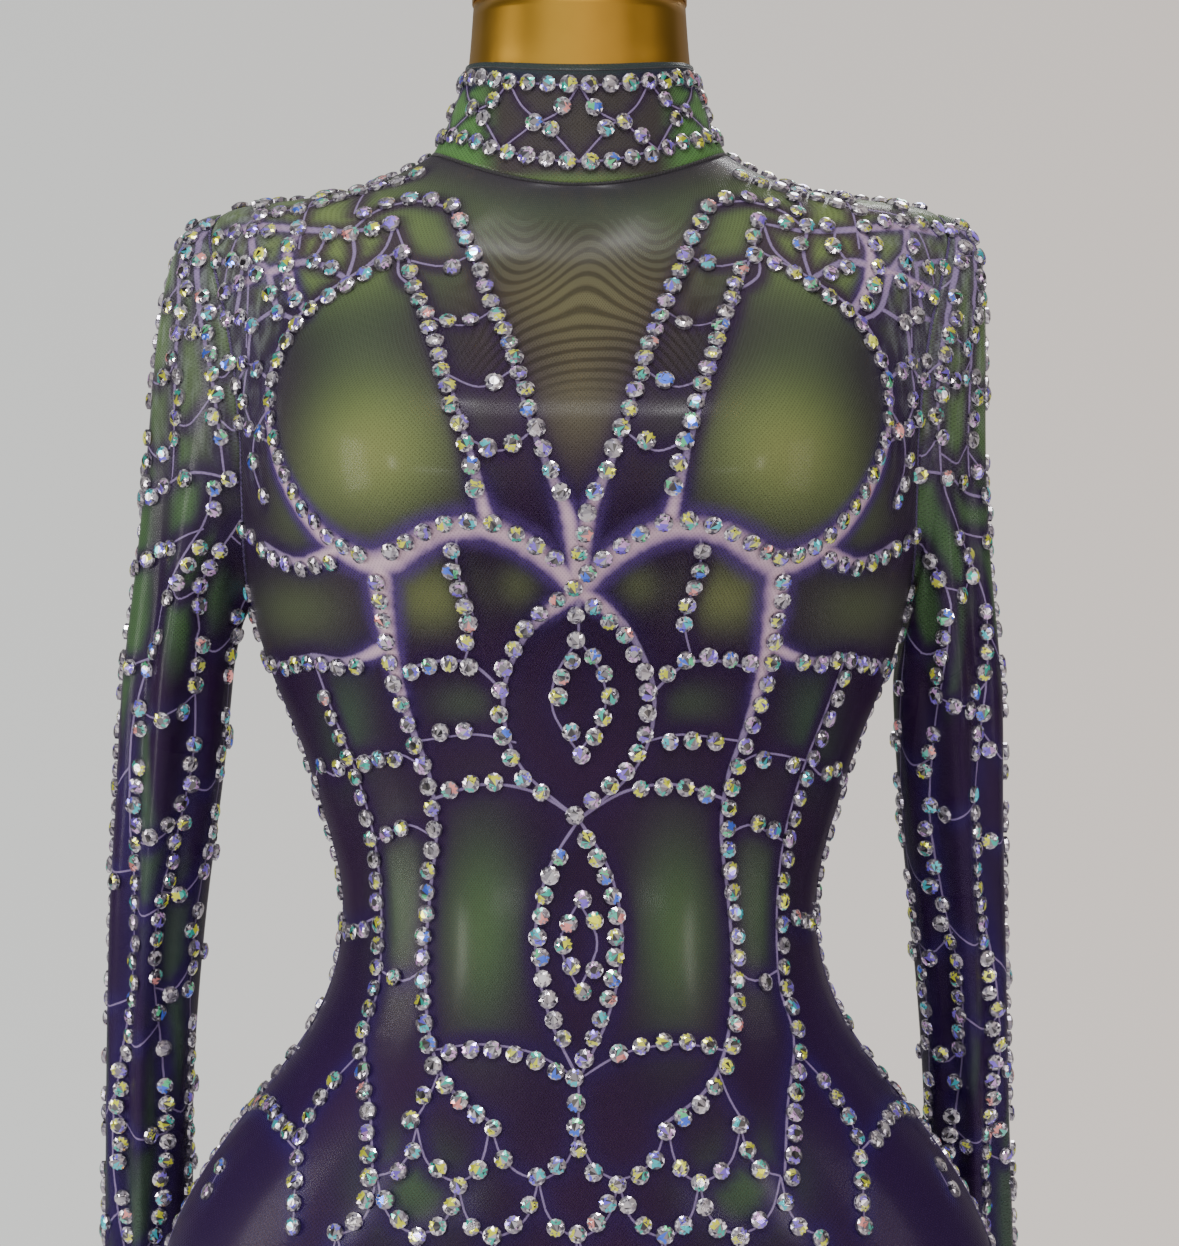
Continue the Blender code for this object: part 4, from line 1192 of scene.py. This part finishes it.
def stone_places(lines, tree, taken, seed, loose=0.4 * MM, missing=0.0, drift=3.2 * MM):
    """Point and normal for each stone. Rows run a little beside their line, as glued by eye, and keep clear
    of the stones that are already there."""
    draws = random.Random(seed)
    places = []
    for line in sorted(lines, key=lambda line: -line.half_widths.max()):
        total = (len(line.points) - 1) * FINER
        count = max(1, round(total / max(1, round(line.pitch / SAMPLE * FINER))))
        aside = draws.uniform(-drift, drift)
        across = unit(np.cross(np.gradient(line.points, axis=0), line.normals))
        for k in range(count + 1):
            at = min(total, round(total * k / count)) / FINER
            low, share = int(at), at - int(at)
            high = min(low + 1, len(line.points) - 1)
            point = line.points[low] * (1 - share) + line.points[high] * share
            point = point + across[low] * (aside + draws.gauss(0, loose))
            left_out, beside = draws.random() < missing, taken.get(cell_of(point), ())
            if left_out or any(np.linalg.norm(point - other) < GAP for other in beside):
                continue
            found, normal, _, _ = tree.find_nearest(Vector(point))
            for cell in cells_round(point):
                taken.setdefault(cell, []).append(point)
            places.append((np.array(found), np.array(normal)))
    return places


def nearest_panel(point):
    """Which panel of the body carries a point."""
    return min(BODY, key=lambda name: panel_trees[name].find_nearest(Vector(point))[3])


# %% Set the crystals
TABLE_REACH, GLINT_REACH, FLASH_REACH = 0.27 * STONE, 0.42 * STONE, 0.4 * STONE
# the glow of glints and of flashing stones is painted light, given as emission
LIT, FLASHING = 0.42, 0.02  # how much a glint flashes, and how many stones flash all over
LIFT = 0.12 * MM


def choose(palette, count, draws):
    """Random colours from a palette of hex values and weights, as rows of linear values."""
    weights = np.array([weight for _, weight in palette], float)
    colours = np.array([linear(colour) for colour, _ in palette])
    return colours[draws.choice(len(palette), count, p=weights / weights.sum())]


def painted_lights_of(middles, draws):
    """A stone's painted reflections and glints, facet by facet. Alpha is how much painted glow the facet gets.
    """
    count = len(middles)
    radius, bearing = np.hypot(middles[:, 0], middles[:, 1]), np.arctan2(middles[:, 1], middles[:, 0])
    on_table = radius[:, None] < TABLE_REACH
    painted_lights = np.where(on_table, choose(TABLE_REFLECTIONS, count, draws), choose(FOIL_AND_REFLECTIONS, count, draws))
    # pale facets get more painted glow than dark ones
    painted_lights[:, 3] = np.where(painted_lights[:, :3].mean(axis=1) > 0.6, 0.26, 0.09)
    odds = np.array([weight for _, _, weight in GLINTS], float)
    first, second, _ = GLINTS[draws.choice(len(GLINTS), p=odds / odds.sum())]
    towards = draws.uniform(0, 2 * math.pi)
    for colour, middle, reach, share in ((first, towards, 0.9, 0.8), (second, towards + math.pi, 0.8, 0.6)):
        off = np.abs((bearing - middle + math.pi) % (2 * math.pi) - math.pi)
        lit = (off < reach) & (radius < GLINT_REACH) & (draws.random(count) < share)
        painted_lights[lit] = [*linear(colour)[:3], LIT]
    # now and then a whole stone is painted as flashing, in full glow
    if draws.random() < FLASHING:
        painted_lights[(radius < FLASH_REACH) & (draws.random(count) < 0.7)] = [*linear(first)[:3], 1.0]
    return painted_lights


def set_stones(name, places, seed):
    """One joined mesh of crystals at the places, each with its own turn, tilt and painted reflections."""
    draws = np.random.default_rng(seed)
    middles = crystal_points[crystal_faces].mean(axis=1)
    points, painted_lights = [], []
    for place, normal in places:
        up = unit(normal + draws.normal(0, 0.055, 3))
        turn = draws.uniform(0, 2 * math.pi)
        side = unit(np.cross(up, (0.3, 0.2, 1.0) if abs(up[2]) < 0.8 else (1.0, 0.3, 0.1)))
        along = side * math.cos(turn) + np.cross(up, side) * math.sin(turn)
        size = draws.uniform(0.94, 1.05)
        axes = np.array([along, np.cross(up, along), up])
        points.append(place + up * LIFT + (crystal_points * size) @ axes)
        painted_lights.append(painted_lights_of(middles, draws))
    faces = np.vstack([crystal_faces + k * len(crystal_points) for k in range(len(places))])
    made = object_from(name, np.vstack(points), faces.tolist())
    add_layer(made.data, "painted_facet_light", "FLOAT_COLOR", "FACE", np.vstack(painted_lights), says="color")
    made.data.materials.append(crystal_glass)
    pick(made)
    bpy.ops.object.shade_flat()
    return made


panel_trees = {name: tree_of([panels[name]]) for name in BODY}
taken, by_panel = {}, {name: [] for name in panels}
for point, normal in stone_places(body_lines, body_tree, taken, 31):
    on_zip = point[1] > 0 and abs(point[0]) < 6 * MM and point[2] > 1.04
    if not on_zip:
        by_panel[nearest_panel(point)].append((point, normal))
for side, found in sleeve_lines.items():
    by_panel["sleeve_" + side] = stone_places(found, sleeve_trees[side], taken, 32,
                                              loose=1.4 * MM, missing=0.12)
by_panel["collar"] = stone_places(collar_lines, collar_tree, taken, 33, drift=0.8 * MM)
stones = {name: set_stones("stones_" + name, by_panel[name], 40 + k) for k, name in enumerate(by_panel)}
print("stones:", {name: len(places) for name, places in by_panel.items()})
print(sum(triangles(made) for made in stones.values()), "triangles")

# %% [markdown]
# ## Seams
# A sewn seam in stretch mesh is a narrow ridge, where the overlocked edges lie double. Its thread
# is a zigzag that shows as small loops. The neck seam is the broadest, and dark. Each ridge
# follows the edges of two neighbouring panels.


# %% Runs where two panels meet
def seam_runs(first, second, apart=1.6 * MM, least=8 * MM):
    """Where the first panel's edge lies beside the second's: rows of middle point and normal."""
    others = np.vstack([evenly(loop, 0.5 * MM) for loop in rims[second]])
    search = search_of(others[:, :3])
    runs = []
    for loop in rims[first]:
        runs.append([])
        for row in evenly(loop, 1.0 * MM):
            place, k, away = search.find(row[:3])
            if away < apart:
                runs[-1].append(np.r_[(row[:3] + np.array(place)) / 2, row[3:] + others[k, 3:]])
            elif runs[-1]:
                runs.append([])
    return [np.array(run) for run in runs if len(run) * MM > least]


def joined_tubes(name, runs, radius, sides, squeeze=1.0):
    """Tubes along runs of point and normal, as one mesh. Squeeze flattens them towards the cloth."""
    points, faces, first = [], [], 0
    for run in runs:
        along = unit(np.gradient(run[:, :3], axis=0))
        across = unit(np.cross(run[:, 3:6], along))
        up = np.cross(along, across)
        for turn in 2 * math.pi * np.arange(sides) / sides:
            points.append(run[:, :3] + (across * math.cos(turn) + up * math.sin(turn) * squeeze) * radius)
        count = len(run)
        starts = [first + k * count for k in range(sides)]
        for here, beside in zip(starts, starts[1:] + starts[:1]):
            faces += [(here + j, beside + j, beside + j + 1, here + j + 1) for j in range(count - 1)]
        faces += [starts[::-1], [start + count - 1 for start in starts]]
        first += sides * count
    made = object_from(name, np.vstack(points), faces)
    turn_outward(made)
    made.data.shade_smooth()
    return made


def zigzag(runs, pitch, reach, lift):
    """Stitches that cross the runs: rows of point and normal on thread lines."""
    found = []
    for run in runs:
        even = evenly(run, pitch / 2)
        across = unit(np.cross(even[:, 3:6], np.gradient(even[:, :3], axis=0)))
        up = unit(even[:, 3:6])
        side = np.where(np.arange(len(even)) % 2, reach, -reach)[:, None]
        found.append(np.column_stack([even[:, :3] + across * side + up * lift, up]))
    return found


# %% Sew the panels
SEAM_PAIRS = [("front", "back_left"), ("front", "back_right"), ("back_left", "back_right"),
              ("sleeve_left", "front"), ("sleeve_left", "back_left"), ("sleeve_right", "front"),
              ("sleeve_right", "back_right")]
body_seams = [run for pair in SEAM_PAIRS for run in seam_runs(*pair)]
neck_seams = [run for name in BODY for run in seam_runs("collar", name, apart=2.4 * MM)]
hem = [collar_chart(angle, HEM_SHARE) for angle in np.arange(-176, 177, 2)]
hem = np.array([[*hit.point, *hit.normal] for hit in hem if hit])
sewn = {name: joined_tubes(name, *settings) for name, *settings in (
    ("seam_ridges", [evenly(run, 4 * MM) for run in body_seams], 0.8 * MM, 6, 0.45),
    ("seam_thread", zigzag(body_seams, 2.6 * MM, 0.9 * MM, 0.30 * MM), 0.13 * MM, 3),
    ("neck_binding", [evenly(run, 2 * MM) for run in neck_seams], 0.75 * MM, 8, 0.6),
    ("collar_hem", [hem], 0.35 * MM, 6, 0.6),
    ("neck_thread", zigzag(neck_seams, 1.9 * MM, 0.8 * MM, 0.42 * MM), 0.15 * MM, 4),
)}
print({name: triangles(made) for name, made in sewn.items()}, "triangles")
print("sewn:", round(sum(len(run) for run in body_seams) * MM, 2), "m and",
      round(sum(len(run) for run in neck_seams) * MM, 2), "m at the neck")


# %% Thread and binding
def thread_finish(name, dark, light):
    """Twisted sewing thread: fine slanted plies, and slight unevenness of dye."""
    material, shader, add = new_finish(name, Roughness=0.6, Sheen_Weight=0.3, Sheen_Roughness=0.4)
    place = add("TexCoord", out="Object")
    plies = add("TexWave", {"Vector": place, "Scale": 420.0, "Distortion": 1.5}, out="Fac",
                bands_direction="DIAGONAL")
    uneven = add("TexNoise", {"Vector": place, "Scale": 90.0, "Detail": 2.0})
    mixed = add("Math", plies, uneven, operation="MULTIPLY")
    link(shader, Base_Color=add("Mix", {0: mixed, 6: dark, 7: light}, **COLOURS),
         Normal=add("Bump", {"Height": plies, "Strength": 0.5, "Distance": 0.0001}))
    return material


seam_cover = thread_finish("overlocked_edge", "#2a1c3c", "#5a4780")
neck_cover = thread_finish("dark_overlock_thread", "#0c0a0e", "#26222a")
for name, finish in (("seam_ridges", seam_cover), ("neck_binding", neck_cover), ("collar_hem", neck_cover),
                     ("seam_thread", thread_finish("lilac_thread", "#54407c", "#8470ad")),
                     ("neck_thread", thread_finish("slate_thread", "#16131a", "#3c3642"))):
    sewn[name].data.materials.append(finish)
    print(name, "in", finish.name)

# %% [markdown]
# ## The zip
# The zip's tape is part of the solid. Its nylon coil is closed: each turn of one half locks
# between two of the other, which looks like a row of small slanted beads with a groove down the
# middle. The slider is closed at the top, and its pull tab hangs over the coil.

# %% Coil of the zip
TEETH_PITCH, TOOTH_ASIDE, TOOTH_OUT = 1.4 * MM, 0.72 * MM, 0.30 * MM
ZIP_LOW, ZIP_HIGH = 1.0525, 1.4155
bpy.ops.mesh.primitive_cylinder_add(vertices=6, radius=0.42 * MM, depth=1.7 * MM, rotation=(0, math.pi / 2, 0))
tooth = bpy.context.active_object
bpy.ops.object.transform_apply(location=False, rotation=True, scale=False)
with editing(tooth):
    bpy.ops.mesh.bevel(offset=0.14 * MM, segments=1)
tooth_points = points_of(tooth)
tooth_faces = [list(polygon.vertices) for polygon in tooth.data.polygons]
bpy.data.objects.remove(tooth)

tape_tree = tree_of([frame["nodes"]["zip_tape"]])
coil_points, coil_faces = [], []
for k in range(int((ZIP_HIGH - ZIP_LOW) / TEETH_PITCH)):
    for side in (-1, 1):
        hit = shoot(tape_tree, (0, 1, ZIP_LOW + (k + (0.5 if side > 0 else 0.0)) * TEETH_PITCH), (0, -1, 0))
        if hit is None:
            continue
        slant = math.radians(12) * side
        across = np.array([math.cos(slant), 0, math.sin(slant)])
        out = unit(hit.normal)
        base = hit.point + out * TOOTH_OUT + (side * TOOTH_ASIDE, 0, 0)
        coil_faces += [[j + len(coil_points) * len(tooth_points) for j in face] for face in tooth_faces]
        coil_points.append(base + tooth_points @ np.array([across, out, np.cross(across, out)]))
zip_coil = object_from("zip_coil", np.vstack(coil_points), coil_faces)
turn_outward(zip_coil)
print("coil:", len(coil_points), "turns,", triangles(zip_coil), "triangles")

# %% [markdown]
# Beside the zip the cloth is folded under, so each edge there is a little round.

# %% Folds beside the zip
FOLD_REACH, FOLD_BACK, FOLD_IN = 3.3 * MM, 0.2 * MM, 0.15 * MM
folds = []
for name in ("back_left", "back_right", "collar"):
    for side in (-1, 1):
        rows = [row for loop in rims[name] for row in evenly(loop, 1.0 * MM)
                if 0 < row[0] * side < FOLD_REACH and row[1] > 0 and row[2] > ZIP_LOW - 1 * MM]
        if rows:
            run = np.array(sorted(rows, key=lambda row: row[2]))
            run[:, :2] -= (side * FOLD_BACK, FOLD_IN)
            folds.append(evenly(run, 2 * MM))
zip_folds = joined_tubes("zip_folds", folds, 0.42 * MM, 6, squeeze=0.7)
zip_folds.data.materials.append(seam_cover)
print("folds beside the zip:", [len(run) for run in folds], triangles(zip_folds), "triangles")

# %% [markdown]
# Below the coil, which a small metal stop ends, the tape goes on under the cloth to where the two
# backs come together.

# %% End of the tape, and the stop
TAPE_MARGIN, TAPE_IN, TAPE_STEPS = 1.2 * MM, 0.6 * MM, 24
tape_rows = []
for z in np.linspace(1.0165, 1.0535, TAPE_STEPS):
    half = np.interp(z, (1.018, 1.050), (0.15, 2.8)) * MM  # half the gap between the two backs
    for side in (-1, 1):
        hit = shoot(body_tree, (side * (half + TAPE_MARGIN), 1, z), (0, -1, 0))
        tape_rows.append(hit.point - (0, TAPE_IN, 0))
tape_faces = [(k, k + 1, k + 3, k + 2) for k in range(0, len(tape_rows) - 3, 2)]
tape_end = object_from("zip_tape_end", tape_rows, tape_faces)
turn_outward(tape_end)
apply_modifier(tape_end, "SOLIDIFY", thickness=0.3 * MM, offset=0.0)
stop_place = shoot(tape_tree, (0, 1, ZIP_LOW - 0.2 * MM), (0, -1, 0)).point + (0, 0.2 * MM, 0)
bpy.ops.mesh.primitive_cube_add(size=1, location=stop_place, scale=(3.6 * MM, 1.3 * MM, 1.7 * MM))
zip_stop = bpy.context.active_object
zip_stop.name = "zip_stop"
bpy.ops.object.transform_apply(location=True, rotation=True, scale=True)
apply_modifier(zip_stop, "BEVEL", width=0.35 * MM, segments=3)
print("tape and stop:", triangles(tape_end), "and", triangles(zip_stop), "triangles")


# %% Finishes of the zip
def woven_tape():
    material, shader, add = new_finish("woven_zip_tape", Roughness=0.7, Sheen_Weight=0.2)
    place = add("TexCoord", out="Object")
    ribs = add("TexWave", {"Vector": place, "Scale": 330.0, "Distortion": 0.6}, out="Fac",
               bands_direction="Z")
    rows = add("TexWave", {"Vector": place, "Scale": 400.0}, out="Fac", bands_direction="X")
    weave = add("Math", ribs, rows, operation="MULTIPLY")
    link(shader, Base_Color=add("Mix", {0: weave, 6: "#1d1428", 7: "#3c3052"}, **COLOURS),
         Normal=add("Bump", {"Height": weave, "Strength": 0.6, "Distance": 0.0002}))
    return material


def moulded_nylon():
    material, shader, add = new_finish("nylon_coil", Roughness=0.35, Coat_Weight=0.2)
    uneven = add("TexNoise", {"Vector": add("TexCoord", out="Object"), "Scale": 500.0, "Detail": 2.0})
    link(shader, Base_Color=add("Mix", {0: uneven, 6: "#2a1f3a", 7: "#4a3c66"}, **COLOURS))
    return material


def plated_metal():
    """Nickel plate with fine scratches, duller where fingers take hold of it."""
    material, shader, add = new_finish("nickel_plate", Metallic=1.0)
    place = add("TexCoord", out="Object")
    worn = add("TexNoise", {"Vector": place, "Scale": 260.0, "Detail": 4.0})
    scratches = add("TexNoise", {"Vector": place, "Scale": 1800.0, "Detail": 2.0})
    link(shader, Base_Color=add("Mix", {0: worn, 6: "#9a9ba2", 7: "#c3c4ca"}, **COLOURS),
         Roughness=add("MapRange", worn, 0, 1, 0.14, 0.42),
         Normal=add("Bump", {"Height": scratches, "Strength": 0.12, "Distance": 0.0001}))
    return material


tape_finish, metal_finish = woven_tape(), plated_metal()
for piece, finish in ((zip_coil, moulded_nylon()), (tape_end, tape_finish), (zip_stop, metal_finish)):
    piece.data.materials.append(finish)
for node, finish in (("zip_tape", tape_finish), ("zip_slider", metal_finish), ("zip_pull", metal_finish)):
    for slot in frame["nodes"][node].material_slots:
        slot.material = finish
    print(node, "in", finish.name)

# %% [markdown]
# ## Floor, light and air
# The photograph is a studio picture on pale grey. The floor is a wide pale disc, and the air round
# it is the same grey, cooler on the left and a little pink on the right. For the gold and the
# crystals the room is dark at the sides and behind, which gives them their depth. Three large lamps
# stand at the sides and at the back, and one hangs high at the front. The narrow ones draw the
# highlights: two at the ceiling on the chest, two upright strips at the waist, and two low ones on
# the breasts.

# %% Floor
bpy.ops.mesh.primitive_circle_add(vertices=96, radius=3.2, fill_type="NGON", location=(0, 0, -0.001))
floor = bpy.context.active_object
floor.name = "studio_floor"
bpy.ops.object.transform_apply(location=True, rotation=False, scale=False)
floor_paint, shader, add = new_finish("matt_floor_paint", Roughness=0.9)
cloudy = add("TexNoise", {"Vector": add("TexCoord", out="Object"), "Scale": 1.5, "Detail": 3.0})
link(shader, Base_Color=add("Mix", {0: cloudy, 6: "#cfcdd0", 7: "#d8d6d9"}, **COLOURS))
floor.data.materials.append(floor_paint)
print("floor in", floor_paint.name)

# %% Air
world = bpy.data.worlds.new("studio_air")
bpy.context.scene.world = world
world.use_nodes = True
add = partial(add_node, world.node_tree)
x, y, z = add("SeparateXYZ", add("TexCoord", out="Generated"), out=None)
paper = add("Mix", {0: add("MapRange", x, -0.25, 0.25), 6: "#e6e8e6", 7: "#efe3da"}, **COLOURS)
dim = add("MapRange", add("Math", x, operation="ABSOLUTE"), 0.45, 0.85, **SOFT)
behind = add("MapRange", y, 0.15, 0.75, **SOFT)
behind = add("Math", behind, 0.8, operation="MULTIPLY")
right = add("MapRange", x, 0.05, 0.55, 0, 0.4, **SOFT)
for shade in (behind, right):
    dim = add("Math", dim, shade, operation="MAXIMUM")
room = add("Mix", {0: dim, 6: paper, 7: "#4a4845"}, **COLOURS)
seen = add("LightPath", out="Is Camera Ray")
link(world.node_tree.nodes["Background"], Color=add("Mix", {0: seen, 6: room, 7: paper}, **COLOURS),
     Strength=add("MapRange", z, -0.22, 0.22, 1.2, 1.08))
print("air:", world.name)

# %% Lamps
WHITE, WARM, ROSY = "#ffffff", "#fffdf6", "#fff6f6"
LAMPS = [  # name, place, towards, size, power, colour
    ("ceiling_left", (-0.36, -1.05, 2.85), (0, 0, 1.2), (0.26, 0.07), 4, WHITE),
    ("ceiling_right", (0.22, -1.25, 2.75), (0, 0, 1.2), (0.2, 0.07), 4, WHITE),
    ("lamp_front", (0, -2.2, 4.2), (0, 0, 1.2), (1.6, 0.6), 35, WHITE),
    ("strip_left", (-1.75, -1.72, 1.24), (0, 0, 1.15), (0.07, 0.42), 7, WARM),
    ("strip_right", (1.62, -1.80, 1.24), (0, 0, 1.15), (0.06, 0.42), 5, ROSY),
    ("low_left", (-1.1, -2.35, 1.03), (0, 0, 1.2), (0.6, 0.035), 3.6, WHITE),
    ("low_right", (1.1, -2.35, 1.03), (0, 0, 1.2), (0.5, 0.03), 2.0, WHITE),
    ("lamp_left", (-2.3, -0.6, 1.15), (0, 0, 1.1), (0.8, 1.3), 30, WARM),
    ("lamp_right", (2.3, -0.7, 1.15), (0, 0, 1.1), (0.8, 1.3), 11, ROSY),
    ("lamp_back", (0.8, 2.4, 3.4), (0, 0, 1.2), (1.2, 0.8), 40, WHITE),
]
for name, place, towards, (wide, high), power, colour in LAMPS:
    data = bpy.data.lights.new(name, "AREA")
    data.shape, data.size, data.size_y = "RECTANGLE", wide, high
    data.energy, data.color = power, linear(colour)[:3]
    lamp = bpy.data.objects.new(name, data)
    lamp.location = place
    lamp.rotation_euler = (Vector(towards) - Vector(place)).to_track_quat("-Z", "Y").to_euler()
    bpy.context.scene.collection.objects.link(lamp)
print("lamps:", [name for name, *_ in LAMPS])

# %% [markdown]
# ## Ties to the solid model
# Every new piece moves with the suit and form. The cloth panels stand for their solids, and each
# says how large it was cut, flat.

# %% Pieces and their bodies
STANDING_IN = [(form, "form_gold", "form_body"), (round_cap, "form_gold", "neck_cap"),
               (round_pole, "stand_gold", "stand_pole"), (round_base, "stand_gold", "stand_base")]
STANDING_IN += [(cloth, "suit_mesh", name) for name, cloth in panels.items()]
ADDED = [(piece, "suit_mesh", None) for piece in (*stones.values(), *sewn.values(), zip_folds)]
ADDED += [(zip_coil, "zip_tape", None), (tape_end, "zip_tape", None), (zip_stop, "zip_metal", None)]
for piece, slot, node in STANDING_IN + ADDED:
    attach(piece, "suit_and_form")
    if node:
        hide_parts(node)
print(len(STANDING_IN), "pieces stand in for solids, and", len(ADDED), "are added")

# %% [markdown]
# The flat sizes are of the cut before stretching. The front is one piece from the neck to both
# ankles; each back is half as wide; a sleeve is cut as one flat piece and closed under the arm.

# %% Cut sizes
CUTS = {
    "front": ((0.56, 1.36), 0.44, "stretched", ("seam_ridges", "seam_thread")),
    "back_left": ((0.29, 1.37), 0.225, "stretched", ()),
    "back_right": ((0.29, 1.37), 0.225, "stretched", ()),
    "sleeve_left": ((0.26, 0.63), 0.085, "hung", ()),
    "sleeve_right": ((0.26, 0.63), 0.085, "hung", ()),
    "collar": ((0.37, 0.060), 0.0155, "stretched", ("neck_binding", "neck_thread", "collar_hem")),
}
for name, (flat, area, held, trims) in CUTS.items():
    print(name, flat, area, held)

# %% Triangles in the new pieces
new_pieces = [piece for piece in bpy.data.objects if piece.type == "MESH" and piece.name not in frame["nodes"]]
print("scene pieces:", sum(triangles(piece) for piece in new_pieces), "triangles")
